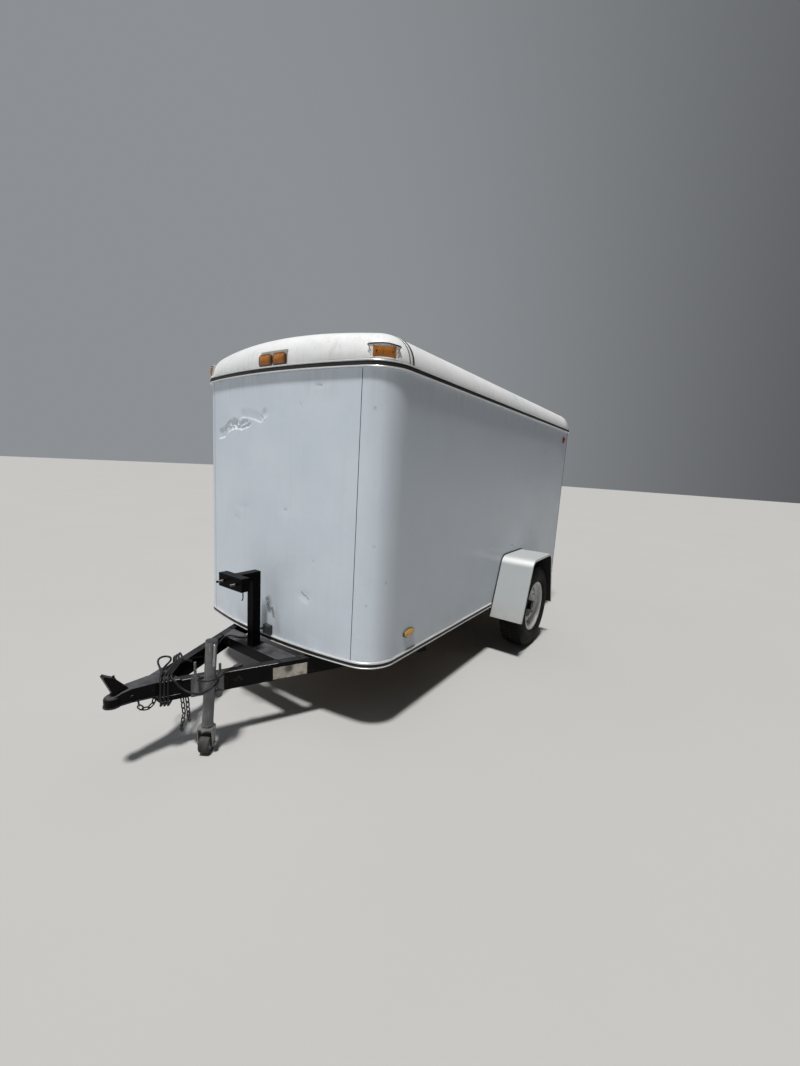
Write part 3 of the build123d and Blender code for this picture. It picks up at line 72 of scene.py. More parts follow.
# ------------------------------------------------------------------ node helpers
class Mat:
    """Small wrapper that builds a procedural node material in object coordinates."""

    def __init__(self, name, rough=0.5, metal=0.0, spec=0.5):
        self.m = bpy.data.materials.new(name)
        self.m.use_nodes = True
        self.nt = self.m.node_tree
        self.b = self.nt.nodes["Principled BSDF"]
        self.b.inputs["Roughness"].default_value = rough
        self.b.inputs["Metallic"].default_value = metal
        self.b.inputs["Specular IOR Level"].default_value = spec
        self.tc = self.nt.nodes.new("ShaderNodeTexCoord")
        self.o = self.tc.outputs["Object"]
        s = self.nt.nodes.new("ShaderNodeSeparateXYZ")
        self.nt.links.new(self.o, s.inputs[0])
        self.x, self.y, self.z = s.outputs

    def put(self, sock, v):
        if isinstance(v, bpy.types.NodeSocket):
            self.nt.links.new(v, sock)
        else:
            sock.default_value = v

    def math(self, op, a, b=0.0, c=0.0, clamp=False):
        n = self.nt.nodes.new("ShaderNodeMath")
        n.operation = op
        n.use_clamp = clamp
        self.put(n.inputs[0], a)
        self.put(n.inputs[1], b)
        self.put(n.inputs[2], c)
        return n.outputs[0]

    def noise(self, scale, detail=4.0, rough=0.55, vec=None, distort=0.0):
        n = self.nt.nodes.new("ShaderNodeTexNoise")
        self.put(n.inputs["Vector"], self.o if vec is None else vec)
        n.inputs["Scale"].default_value = scale
        n.inputs["Detail"].default_value = detail
        n.inputs["Roughness"].default_value = rough
        n.inputs["Distortion"].default_value = distort
        return n.outputs[0]

    def voronoi(self, scale, vec=None, feature="F1", out="Distance"):
        n = self.nt.nodes.new("ShaderNodeTexVoronoi")
        n.feature = feature
        self.put(n.inputs["Vector"], self.o if vec is None else vec)
        n.inputs["Scale"].default_value = scale
        return n.outputs[out]

    def wave(self, scale, vec=None, direction="Z", distort=0.0, detail=2.0, dscale=1.0, profile="SIN"):
        n = self.nt.nodes.new("ShaderNodeTexWave")
        n.bands_direction = direction
        n.wave_profile = profile
        self.put(n.inputs["Vector"], self.o if vec is None else vec)
        n.inputs["Scale"].default_value = scale
        n.inputs["Distortion"].default_value = distort
        n.inputs["Detail"].default_value = detail
        n.inputs["Detail Scale"].default_value = dscale
        return n.outputs["Fac"]

    def stretch(self, sx, sy, sz, rot=(0, 0, 0), loc=(0, 0, 0)):
        n = self.nt.nodes.new("ShaderNodeMapping")
        self.put(n.inputs["Vector"], self.o)
        n.inputs["Scale"].default_value = (sx, sy, sz)
        n.inputs["Rotation"].default_value = rot
        n.inputs["Location"].default_value = loc
        return n.outputs[0]

    def span(self, v, a, b, lo=0.0, hi=1.0, smooth=False):
        n = self.nt.nodes.new("ShaderNodeMapRange")
        n.interpolation_type = "SMOOTHSTEP" if smooth else "LINEAR"
        self.put(n.inputs["Value"], v)
        n.inputs["From Min"].default_value = a
        n.inputs["From Max"].default_value = b
        n.inputs["To Min"].default_value = lo
        n.inputs["To Max"].default_value = hi
        return n.outputs[0]

    def mix(self, f, a, b):
        n = self.nt.nodes.new("ShaderNodeMix")
        n.data_type = "RGBA"
        self.put(n.inputs["Factor"], f)
        self.put(n.inputs[6], a if isinstance(a, bpy.types.NodeSocket) else tuple(a) + (1,))
        self.put(n.inputs[7], b if isinstance(b, bpy.types.NodeSocket) else tuple(b) + (1,))
        return n.outputs[2]

    def combine(self, x, y, z):
        n = self.nt.nodes.new("ShaderNodeCombineXYZ")
        self.put(n.inputs[0], x), self.put(n.inputs[1], y), self.put(n.inputs[2], z)
        return n.outputs[0]

    def length2(self, a, b):
        return self.math("SQRT", self.math("ADD", self.math("MULTIPLY", a, a), self.math("MULTIPLY", b, b)))

    def normal_z(self):
        g = self.nt.nodes.new("ShaderNodeNewGeometry")
        s = self.nt.nodes.new("ShaderNodeSeparateXYZ")
        self.nt.links.new(g.outputs["Normal"], s.inputs[0])
        return s.outputs[2]

    def segment(self, a, u_axis, v_axis, b, width, soft):
        """1 near the line from a to b in the plane of two coordinates, 0 away from it."""
        (ax, ay), (bx, by) = a, b
        lx, ly = bx - ax, by - ay
        ln = math.hypot(lx, ly) or 1e-6
        du = self.math("SUBTRACT", u_axis, ax)
        dv = self.math("SUBTRACT", v_axis, ay)
        t = self.math("ADD", self.math("MULTIPLY", du, lx / ln), self.math("MULTIPLY", dv, ly / ln))
        over = self.math("MAXIMUM", self.math("SUBTRACT", t, ln), self.math("MULTIPLY", t, -1.0))
        over = self.math("MAXIMUM", over, 0.0)
        side = self.math("SUBTRACT", self.math("MULTIPLY", du, ly / ln), self.math("MULTIPLY", dv, lx / ln))
        return self.span(self.length2(over, side), width, width + soft, 1.0, 0.0, True)

    def spot(self, u_axis, v_axis, c, ru, rv, soft=0.5):
        du = self.math("DIVIDE", self.math("SUBTRACT", u_axis, c[0]), ru)
        dv = self.math("DIVIDE", self.math("SUBTRACT", v_axis, c[1]), rv)
        return self.span(self.length2(du, dv), 1 - soft, 1.0, 1.0, 0.0, True)

    def warped(self, amp=0.006, scale=45.0):
        """Object coordinates shaken by noise, for ragged edges."""
        n = self.nt.nodes.new("ShaderNodeTexNoise")
        self.put(n.inputs["Vector"], self.o)
        n.inputs["Scale"].default_value = scale
        n.inputs["Detail"].default_value = 3.0
        v = self.nt.nodes.new("ShaderNodeVectorMath")
        v.operation = "MULTIPLY_ADD"
        self.nt.links.new(n.outputs["Color"], v.inputs[0])
        v.inputs[1].default_value = (amp * 2, amp * 2, amp * 2)
        v.inputs[2].default_value = (-amp, -amp, -amp)
        a = self.nt.nodes.new("ShaderNodeVectorMath")
        a.operation = "ADD"
        self.nt.links.new(self.o, a.inputs[0])
        self.nt.links.new(v.outputs[0], a.inputs[1])
        s = self.nt.nodes.new("ShaderNodeSeparateXYZ")
        self.nt.links.new(a.outputs[0], s.inputs[0])
        return s.outputs

    def spot3(self, xyz, c, r, soft=0.6):
        d = [self.math("SUBTRACT", xyz[i], c[i]) for i in range(3)]
        q = self.math("ADD", self.math("MULTIPLY", d[0], d[0]), self.math("MULTIPLY", d[1], d[1]))
        q = self.math("SQRT", self.math("ADD", q, self.math("MULTIPLY", d[2], d[2])))
        return self.span(q, r * (1 - soft), r, 1.0, 0.0, True)

    def color(self, c):
        self.put(self.b.inputs["Base Color"], c if isinstance(c, bpy.types.NodeSocket) else tuple(c) + (1,))

    def rough(self, v):
        self.put(self.b.inputs["Roughness"], v)

    def metal(self, v):
        self.put(self.b.inputs["Metallic"], v)

    def bump(self, height, strength=0.3, dist=0.001):
        n = self.nt.nodes.new("ShaderNodeBump")
        n.inputs["Strength"].default_value = strength
        n.inputs["Distance"].default_value = dist
        self.put(n.inputs["Height"], height)
        self.nt.links.new(n.outputs[0], self.b.inputs["Normal"])


def outline_depth(M, half=0.762, corner=0.178, cx=0.584, cy=-0.98957):
    """Depth below the body's outer skin, for the side walls and their front corners."""
    ax = M.math("MAXIMUM", M.math("SUBTRACT", M.math("ABSOLUTE", M.x), cx), 0.0)
    ay = M.math("MINIMUM", M.math("SUBTRACT", M.y, cy), 0.0)
    return M.math("SUBTRACT", corner, M.length2(ax, ay))


def wood(M, along="y"):
    """Plywood: pale veneer with long figure, knots and thin open grain. Returns colour and height."""
    sc = {"y": (9, 0.7, 9), "z": (9, 9, 0.7)}[along]
    v = M.stretch(*sc)
    big = M.noise(1.6, 3, 0.6, v, 0.8)
    fine = M.noise(14, 4, 0.6, v, 0.2)
    c = M.mix(M.span(big, 0.35, 0.68), (0.56, 0.39, 0.21), (0.36, 0.22, 0.11))
    c = M.mix(M.math("MULTIPLY", M.span(fine, 0.52, 0.72), 0.5), c, (0.24, 0.14, 0.07))
    grime = M.span(M.noise(2.2, 5, 0.6), 0.48, 0.75)
    c = M.mix(M.math("MULTIPLY", grime, 0.45), c, (0.20, 0.16, 0.12))
    return c, M.math("ADD", M.math("MULTIPLY", fine, 0.6), M.math("MULTIPLY", big, 0.4))


def paint_layers(M, base, low_dirt=True):
    """Aged white enamel: faint blotches, run-off streaks and grime. Returns colour and dirt amount."""
    blot = M.noise(3.2, 5, 0.6)
    c = M.mix(M.span(blot, 0.35, 0.7), base, tuple(k * f for k, f in zip(base, (0.93, 0.945, 0.955))))
    fine = M.span(M.noise(42, 4, 0.6), 0.55, 0.8)
    c = M.mix(M.math("MULTIPLY", fine, 0.09), c, (0.36, 0.37, 0.37))
    streak = M.noise(5.5, 4, 0.65, M.stretch(5.0, 5.0, 0.28))
    s = M.math("MULTIPLY", M.span(streak, 0.52, 0.78), 0.11)
    c = M.mix(s, c, (0.42, 0.41, 0.385))
    specks = M.span(M.voronoi(23), 0.0, 0.045, 1.0, 0.0)
    c = M.mix(M.math("MULTIPLY", specks, M.span(M.noise(4.1, 2), 0.5, 0.62, 0.0, 0.55)), c, (0.22, 0.2, 0.17))
    return c, s


# ------------------------------------------------------------------ materials
SKIN = (0.66, 0.725, 0.80)
ROOF_WHITE = (0.86, 0.87, 0.875)


def skin_material(name, with_lining=True, front=False):
    M = Mat(name, 0.34, 0.0, 0.5)
    c, s = paint_layers(M, SKIN)
    if not front:
        # painted shade: the side walls are painted darker than the front, ramping in over the rear of the corners
        flat = M.span(M.math("ABSOLUTE", M.x), 0.700, 0.760, 0.0, 1.0, True)
        c = M.mix(M.math("MULTIPLY", flat, 0.62), c, (0.46, 0.505, 0.56))
    # grime thrown up low on the walls
    low = M.math("MULTIPLY", M.span(M.z, 0.40, 0.66, 1.0, 0.0, True), M.span(M.noise(7, 5, 0.6), 0.38, 0.72))
    c = M.mix(M.math("MULTIPLY", low, 0.22), c, (0.36, 0.335, 0.29))
    # patchy darkening just under the roof moulding
    top = M.math("MULTIPLY", M.span(M.z, 1.70, 1.885, 0.0, 1.0, True), M.span(M.noise(6, 4, 0.6, M.stretch(4, 4, 0.5)), 0.46, 0.72))
    c = M.mix(M.math("MULTIPLY", top, 0.22), c, (0.34, 0.335, 0.32))
    # shallow waviness of thin sheet
    wav = M.noise(2.3, 2, 0.5, M.stretch(1, 1, 0.8))
    wav2 = M.noise(6.5, 3, 0.5)
    h = M.math("ADD", wav, M.math("MULTIPLY", wav2, 0.16))
    rough = M.span(M.noise(5, 4, 0.6), 0.3, 0.8, 0.28, 0.46)
    wx, wy, wz = M.warped()
    breakup = M.span(M.noise(95, 4, 0.7), 0.34, 0.58, 0.25, 1.0)
    if front:
        marks = (
            (M.segment((0.281, 0.7204), wx, wz, (0.334, 0.689), 0.0008, 0.0035), (0.06, 0.065, 0.07), 0.9),
            (M.segment((0.270, 0.690), wx, wz, (0.318, 0.666), 0.002, 0.020), (0.82, 0.85, 0.88), 0.55),
            (M.segment((0.011, 0.622), wx, wz, (0.026, 0.560), 0.006, 0.020), (0.055, 0.06, 0.065), 1.0),
            (M.segment((0.050, 0.572), wx, wz, (0.066, 0.530), 0.003, 0.013), (0.09, 0.095, 0.10), 0.95),
            (M.segment((0.030, 0.640), wx, wz, (0.040, 0.600), 0.002, 0.024), (0.34, 0.35, 0.36), 0.35),
            (M.segment((0.354, 1.8195), wx, wz, (0.383, 1.8160), 0.001, 0.008), (0.24, 0.25, 0.27), 0.6),
            (M.segment((0.246, 1.733), wx, wz, (0.256, 1.714), 0.0005, 0.006), (0.36, 0.38, 0.41), 0.5),
            (M.spot(wx, wz, (0.152, 1.168), 0.020, 0.013), (0.30, 0.33, 0.36), 0.40),
            (M.segment((-0.275, 1.150), wx, wz, (-0.180, 1.152), 0.001, 0.009), (0.46, 0.50, 0.55), 0.35),
            (M.segment((-0.325, 1.082), wx, wz, (-0.275, 1.060), 0.001, 0.011), (0.44, 0.47, 0.52), 0.4),
            (M.spot(wx, wz, (0.359, 0.908), 0.012, 0.010), (0.38, 0.41, 0.44), 0.4),
            (M.segment((0.085, 0.55), wx, wz, (0.115, 0.45), 0.004, 0.03), (0.34, 0.345, 0.35), 0.3),
        )
        for mask, col, k in marks:
            c = M.mix(M.math("MULTIPLY", M.math("MULTIPLY", mask, k), breakup), c, col)
    else:
        # small scrapes on the street side, where y and z place them
        onleft = M.span(M.x, 0.74, 0.76)
        for a, b, w, soft, col, k in (
            ((Y(1905), 0.836), (Y(1945), 0.829), 0.001, 0.009, (0.12, 0.125, 0.13), 0.7),
            ((Y(1960), 0.812), (Y(2000), 0.806), 0.001, 0.008, (0.20, 0.205, 0.21), 0.5),
            ((Y(2080), 0.845), (Y(2120), 0.842), 0.001, 0.007, (0.22, 0.225, 0.23), 0.5),
            ((Y(2340), 0.905), (Y(2420), 0.895), 0.001, 0.010, (0.33, 0.34, 0.35), 0.4),
            ((Y(1460), 0.86), (Y(1780), 0.80), 0.004, 0.022, (0.78, 0.80, 0.82), 0.25),
            ((Y(2545), 1.660), (Y(2590), 1.640), 0.001, 0.012, (0.34, 0.355, 0.37), 0.4),
        ):
            mk = M.math("MULTIPLY", M.segment(a, wy, wz, b, w, soft), onleft)
            c = M.mix(M.math("MULTIPLY", M.math("MULTIPLY", mk, k), breakup), c, col)
        for cc, r, col, k in (
            ((0.680, Y(88), 1.705), 0.013, (0.33, 0.345, 0.36), 0.5), ((0.702, Y(106), 1.030), 0.014, (0.40, 0.41, 0.42), 0.4),
            ((0.746, Y(165), 0.839), 0.013, (0.30, 0.31, 0.33), 0.45), ((0.652, Y(74), 0.547), 0.018, (0.76, 0.78, 0.80), 0.35),
            ((0.682, Y(90), 0.718), 0.012, (0.36, 0.37, 0.38), 0.4),
        ):
            c = M.mix(M.math("MULTIPLY", M.math("MULTIPLY", M.spot3((wx, wy, wz), cc, r), k), breakup), c, col)
    if with_lining:
        d = outline_depth(M)
        inner = M.span(d, 0.0095, 0.0105)
        wc, wh = wood(M, "z")
        c = M.mix(inner, c, wc)
        rough = M.math("ADD", rough, M.math("MULTIPLY", inner, 0.4))
    M.color(c)
    M.rough(rough)
    M.bump(h, 0.55, 0.012)
    return M.m


mat_side = skin_material("painted_side_skin")
mat_front = skin_material("painted_front_skin", with_lining=False, front=True)
mat_plain_skin = skin_material("painted_skin", with_lining=False)


def roof_material(name):
    M = Mat(name, 0.3)
    c, s = paint_layers(M, ROOF_WHITE)
    # brown-grey run-off, mostly on the front of the cap
    st1 = M.noise(7.5, 5, 0.7, M.stretch(6, 6, 0.22))
    st2 = M.noise(2.1, 3, 0.6, M.stretch(2, 2, 0.4))
    front = M.span(M.y, Y(170), Y(-10), 0.35, 1.0)
    band = M.math("MULTIPLY", M.span(M.z, 2.085, 2.03, 0.0, 1.0), front)
    f = M.math("MULTIPLY", M.math("MULTIPLY", M.span(st1, 0.47, 0.73), M.span(st2, 0.42, 0.66)), band)
    c = M.mix(M.math("MULTIPLY", f, 0.85), c, (0.42, 0.40, 0.365))
    # painted shade: a smooth grey veil over the rolled front of the cap, stronger towards the street side
    cap_front_shade = M.math("MULTIPLY", M.math("MULTIPLY", M.span(M.y, Y(150), Y(40), 0.0, 1.0, True), M.span(M.z, 2.075, 1.99, 0.0, 1.0, True)), M.span(M.x, -0.35, 0.30, 0.10, 0.34, True))
    c = M.mix(cap_front_shade, c, (0.60, 0.61, 0.61))
    # dust that settles along the foot of the curve
    foot = M.math("MULTIPLY", M.span(M.z, 1.985, 1.925, 0.0, 1.0, True), M.span(M.noise(6, 4, 0.6), 0.42, 0.7))
    c = M.mix(M.math("MULTIPLY", foot, M.span(M.y, Y(240), Y(300), 0.36, 0.16)), c, (0.40, 0.39, 0.355))
    topd = M.math("MULTIPLY", M.span(M.noise(3.4, 5, 0.65), 0.5, 0.72), M.span(M.z, 2.06, 2.10, 0.0, 0.35))
    c = M.mix(topd, c, (0.50, 0.48, 0.43))
    M.color(c)
    M.rough(M.span(M.noise(6, 4, 0.6), 0.3, 0.75, 0.24, 0.45))
    M.bump(M.noise(3.0, 2, 0.5), 0.35, 0.006)
    return M.m


mat_roof = roof_material("roof_gelcoat")


def aluminium(name, base=(0.70, 0.71, 0.72), rough=0.34, metal=0.85, dirt=0.35, along="y"):
    M = Mat(name, rough, metal)
    br = M.noise(30, 3, 0.6, M.stretch(*{"y": (6, 0.15, 6), "z": (6, 6, 0.15), "x": (0.15, 6, 6)}[along]))
    c = M.mix(M.span(br, 0.35, 0.7), base, tuple(k * 0.82 for k in base))
    g = M.span(M.noise(9, 5, 0.65), 0.5, 0.72)
    c = M.mix(M.math("MULTIPLY", g, dirt), c, (0.21, 0.2, 0.18))
    M.color(c)
    M.metal(M.math("SUBTRACT", metal, M.math("MULTIPLY", g, 0.5)))
    M.rough(M.math("ADD", rough, M.math("MULTIPLY", g, 0.25)))
    M.bump(br, 0.12, 0.001)
    return M.m


mat_alu = aluminium("moulding_aluminium")
mat_mill = aluminium("mill_aluminium", (0.62, 0.63, 0.64), 0.42, 0.8, 0.25)
mat_bead = aluminium("polished_bead", (0.86, 0.87, 0.88), 0.30, 0.55, 0.22)
mat_strip = aluminium("cap_strip_aluminium", (0.84, 0.85, 0.86), 0.34, 0.35, 0.18, "z")


def black_paint(name, dust=0.34, rust=0.35, base=(0.0022, 0.0022, 0.0026), spec=0.08):
    M = Mat(name, 0.40, 0.0, spec)
    n1 = M.noise(11, 5, 0.65)
    c = M.mix(M.span(n1, 0.3, 0.7), base, tuple(k * 2.1 for k in base))
    # dust on whatever faces up
    upward = M.span(M.normal_z(), 0.35, 0.95, 0.0, 1.0)
    dn = M.span(M.noise(8, 5, 0.7), 0.3, 0.7, 0.25, 1.0)
    d = M.math("MULTIPLY", M.math("MULTIPLY", upward, dn), dust)
    c = M.mix(d, c, (0.110, 0.112, 0.118))
    # rust freckles and patches
    rn = M.noise(17, 6, 0.72)
    rb = M.noise(3.1, 3, 0.5)
    r = M.math("MULTIPLY", M.span(rn, 0.60, 0.68), M.span(rb, 0.46, 0.62))
    r = M.math("MULTIPLY", r, rust)
    c = M.mix(r, c, (0.17, 0.065, 0.028))
    chips = M.math("MULTIPLY", M.span(M.voronoi(34), 0.0, 0.09, 1.0, 0.0), M.span(M.noise(5, 2), 0.52, 0.6))
    c = M.mix(M.math("MULTIPLY", chips, 0.6), c, (0.23, 0.22, 0.21))
    M.color(c)
    M.rough(M.math("ADD", M.math("ADD", 0.36, M.math("MULTIPLY", d, 0.4)), M.math("MULTIPLY", r, 0.45), clamp=True))
    M.bump(M.math("ADD", M.noise(60, 4, 0.6), M.math("MULTIPLY", r, 1.5)), 0.25, 0.0012)
    return M.m


mat_black = black_paint("tongue_paint")
mat_under = black_paint("underframe_paint", 0.25, 0.8)
mat_post = black_paint("bracket_paint", 0.10, 0.10, (0.0012, 0.0012, 0.0014), 0.035)
mat_cross = black_paint("crossmember_paint", 1.0, 0.35)
mat_saddle = black_paint("coupler_paint", 0.85, 0.20)
# painted highlight: bright metal for thin strips along the tongue's edges
mat_edge_glint = aluminium("edge_glint_paint", (0.55, 0.56, 0.58), 0.45, 0.35, 0.6)


def steel(name, base=(0.30, 0.305, 0.31), rust=0.35, rough=0.5, metal=0.6, streaks=True):
    M = Mat(name, rough, metal)
    n1 = M.noise(13, 6, 0.7)
    c = M.mix(M.span(n1, 0.33, 0.68), base, tuple(k * 0.55 for k in base))
    if streaks:
        sv = M.noise(22, 4, 0.7, M.stretch(3.5, 3.5, 0.35))
        c = M.mix(M.math("MULTIPLY", M.span(sv, 0.55, 0.72), 0.55), c, (0.47, 0.47, 0.46))
    rn = M.span(M.noise(19, 6, 0.75), 0.57, 0.70)
    rb = M.span(M.noise(4, 3, 0.5), 0.42, 0.62)
    r = M.math("MULTIPLY", M.math("MULTIPLY", rn, rb), rust)
    c = M.mix(r, c, (0.20, 0.085, 0.04))
    M.color(c)
    M.metal(M.math("SUBTRACT", metal, M.math("MULTIPLY", r, 0.6), clamp=True))
    M.rough(M.math("ADD", rough, M.math("MULTIPLY", r, 0.35)))
    M.bump(M.math("ADD", M.noise(80, 4, 0.6), r), 0.2, 0.001)
    return M.m


mat_steel = steel("worn_steel")
mat_zinc = steel("zinc_steel", (0.42, 0.42, 0.425), 0.25, 0.42, 0.75, False)
mat_jack = steel("jack_steel", (0.185, 0.19, 0.195), 0.5, 0.52, 0.45)
mat_fork = steel("caster_fork_steel", (0.34, 0.34, 0.335), 0.35, 0.42, 0.6)
mat_chain = steel("chain_steel", (0.11, 0.11, 0.115), 0.75, 0.5, 0.6, False)
mat_bright = steel("bright_steel", (0.62, 0.62, 0.62), 0.12, 0.36, 0.8, False)


def rubber(name, base=(0.018, 0.018, 0.019), dust=0.35, rough=0.62):
    M = Mat(name, rough, 0.0, 0.4)
    c = M.mix(M.span(M.noise(15, 5, 0.65), 0.35, 0.7), base, tuple(k * 1.9 for k in base))
    c = M.mix(M.math("MULTIPLY", M.span(M.noise(6, 5, 0.7), 0.45, 0.72), dust), c, (0.145, 0.13, 0.11))
    M.color(c)
    M.rough(M.span(M.noise(20, 4), 0.3, 0.7, rough - 0.08, rough + 0.14))
    M.bump(M.noise(120, 3, 0.6), 0.15, 0.0006)
    return M.m


mat_rubber = rubber("black_rubber", dust=0.2)
mat_insert = rubber("vinyl_insert", (0.011, 0.011, 0.012), 0.14, 0.5)
# painted shade: near-black sheets inside the fenders and on the wall in the wheel wells
mat_fender_shade = rubber("fender_inside_shade", (0.012, 0.012, 0.012), 0.12, 0.75)
mat_wheel = rubber("caster_rubber", (0.016, 0.016, 0.017), 0.4, 0.7)


def tyre_material():
    M = Mat("tyre_rubber_aged", 0.7, 0.0, 0.10)
    dy = M.math("SUBTRACT", M.y, Y(1960))
    dz = M.math("SUBTRACT", M.z, 0.344)
    rad = M.length2(dy, dz)
    c = M.mix(M.span(M.noise(14, 5, 0.65), 0.3, 0.7), (0.0050, 0.0050, 0.0054), (0.0095, 0.0092, 0.009))
    side = M.span(rad, 0.335, 0.315, 0.0, 1.0)
    d = M.math("MULTIPLY", M.span(M.noise(7, 5, 0.7), 0.36, 0.70), M.math("ADD", M.math("MULTIPLY", side, 0.20), 0.08))
    c = M.mix(d, c, (0.070, 0.064, 0.055))
    M.color(c)
    rings = M.math("SINE", M.math("MULTIPLY", rad, 900.0))
    ringmask = M.math("MULTIPLY", M.span(rad, 0.225, 0.232), M.span(rad, 0.262, 0.255))
    M.bump(M.math("ADD", M.noise(110, 3, 0.6), M.math("MULTIPLY", M.math("MULTIPLY", rings, ringmask), 1.2)), 0.3, 0.0008)
    return M.m


mat_tyre = tyre_material()


def rim_material():
    M = Mat("rim_enamel", 0.33)
    dy = M.math("SUBTRACT", M.y, Y(1960))
    dz = M.math("SUBTRACT", M.z, 0.344)
    rad = M.length2(dy, dz)
    c = M.mix(M.span(M.noise(9, 5, 0.6), 0.35, 0.7), (0.62, 0.625, 0.63), (0.50, 0.505, 0.51))
    dirt = M.span(M.noise(26, 6, 0.72), 0.50, 0.70)
    c = M.mix(M.math("MULTIPLY", dirt, 0.42), c, (0.235, 0.205, 0.17))
    # rust round the nuts and in the valley of the disc
    ring = M.math("MULTIPLY", M.span(rad, 0.048, 0.060), M.span(rad, 0.084, 0.072))
    rn = M.span(M.noise(38, 5, 0.7), 0.45, 0.62)
    c = M.mix(M.math("MULTIPLY", M.math("MULTIPLY", ring, rn), 0.55), c, (0.20, 0.085, 0.04))
    edge = M.math("MULTIPLY", M.span(rad, 0.150, 0.156), M.span(rad, 0.172, 0.164))
    c = M.mix(M.math("MULTIPLY", edge, 0.55), c, (0.16, 0.145, 0.13))
    # painted shade: the rim inboard of the disc is painted near black
    inside = M.math("MULTIPLY", M.span(M.math("ABSOLUTE", M.x), 0.916, 0.926, 1.0, 0.0), M.span(rad, 0.095, 0.100))
    c = M.mix(inside, c, (0.010, 0.009, 0.008))
    M.color(c)
    M.rough(M.math("ADD", 0.3, M.math("MULTIPLY", dirt, 0.3)))
    M.bump(M.noise(70, 4, 0.6), 0.12, 0.0008)
    return M.m


mat_rim = rim_material()


def fender_material():
    M = Mat("fender_enamel", 0.40, 0.0, 1.0)
    c, s = paint_layers(M, (0.41, 0.43, 0.435))
    nz = M.normal_z()
    # painted light: faces that point up are painted lighter than the sloping face, and a painted highlight runs along
    # the bend
    c = M.mix(M.span(nz, 0.90, 0.97, 0.0, 0.60, True), c, (0.60, 0.615, 0.61))
    bend_highlight = M.math("MULTIPLY", M.span(nz, 0.26, 0.60, 0.0, 1.0, True), M.span(nz, 0.99, 0.84, 0.0, 1.0, True))
    c = M.mix(M.math("MULTIPLY", bend_highlight, 0.85), c, (0.66, 0.675, 0.67))
    M.b.inputs["Coat Weight"].default_value = 1.0
    M.b.inputs["Coat Roughness"].default_value = 0.42
    low = M.math("MULTIPLY", M.span(M.z, 0.30, 0.46, 1.0, 0.0, True), M.span(M.noise(12, 5, 0.7), 0.36, 0.66))
    c = M.mix(M.math("MULTIPLY", low, 0.45), c, (0.33, 0.295, 0.24))
    rn = M.math("MULTIPLY", M.span(M.noise(26, 6, 0.72), 0.60, 0.66), M.span(M.z, 0.345, 0.305))
    c = M.mix(M.math("MULTIPLY", rn, 0.7), c, (0.20, 0.085, 0.04))
    M.color(c)
    M.rough(M.span(M.noise(7, 4, 0.6), 0.3, 0.75, 0.36, 0.46))
    M.bump(M.noise(4.0, 2, 0.5), 0.4, 0.006)
    return M.m


mat_fender = fender_material()


def plywood(name, along="y"):
    M = Mat(name, 0.72)
    c, h = wood(M, along)
    M.color(c)
    M.bump(h, 0.35, 0.0012)
    return M.m


mat_floor_ply = plywood("floor_plywood", "y")
mat_wall_ply = plywood("wall_plywood", "z")


def door_material(name, axis, inner_at, sign):
    """White skin outside, plywood inside; inner_at is where the inner sheet starts."""
    M = Mat(name, 0.34)
    c, s = paint_layers(M, SKIN)
    low = M.math("MULTIPLY", M.span(M.z, 0.44, 0.72, 1.0, 0.0, True), M.span(M.noise(7, 5, 0.6), 0.38, 0.72))
    c = M.mix(M.math("MULTIPLY", low, 0.3), c, (0.36, 0.335, 0.29))
    wc, wh = wood(M, "z")
    v = {"x": M.x, "y": M.y}[axis]
    inner = M.span(v, inner_at, inner_at + 0.0006 * sign)
    c = M.mix(inner, c, wc)
    M.color(c)
    M.rough(M.math("ADD", 0.32, M.math("MULTIPLY", inner, 0.4)))
    M.bump(M.noise(2.6, 2, 0.5), 0.4, 0.008)
    return M.m


mat_rear_door = door_material("rear_door_skin", "y", Y(3270) - 0.030, -1)
mat_side_door = door_material("side_door_skin", "x", -0.762 + 0.019, 1)


def lens(name, col, deep, rib_axis="x"):
    M = Mat(name, 0.16, 0.0, 0.6)
    v = {"x": M.x, "y": M.y, "z": M.z}[rib_axis]
    ribs = M.math("SINE", M.math("MULTIPLY", v, 1100.0))
    c = M.mix(M.span(ribs, -1.0, 1.0), col, deep)
    d = M.span(M.noise(30, 5, 0.7), 0.5, 0.72)
    c = M.mix(M.math("MULTIPLY", d, 0.35), c, (0.16, 0.10, 0.06))
    M.color(c)
    M.b.inputs["Transmission Weight"].default_value = 0.0
    M.b.inputs["Coat Weight"].default_value = 0.6
    M.b.inputs["Coat Roughness"].default_value = 0.12
    M.rough(M.math("ADD", 0.18, M.math("MULTIPLY", d, 0.3)))
    M.bump(ribs, 0.35, 0.0006)
    return M.m


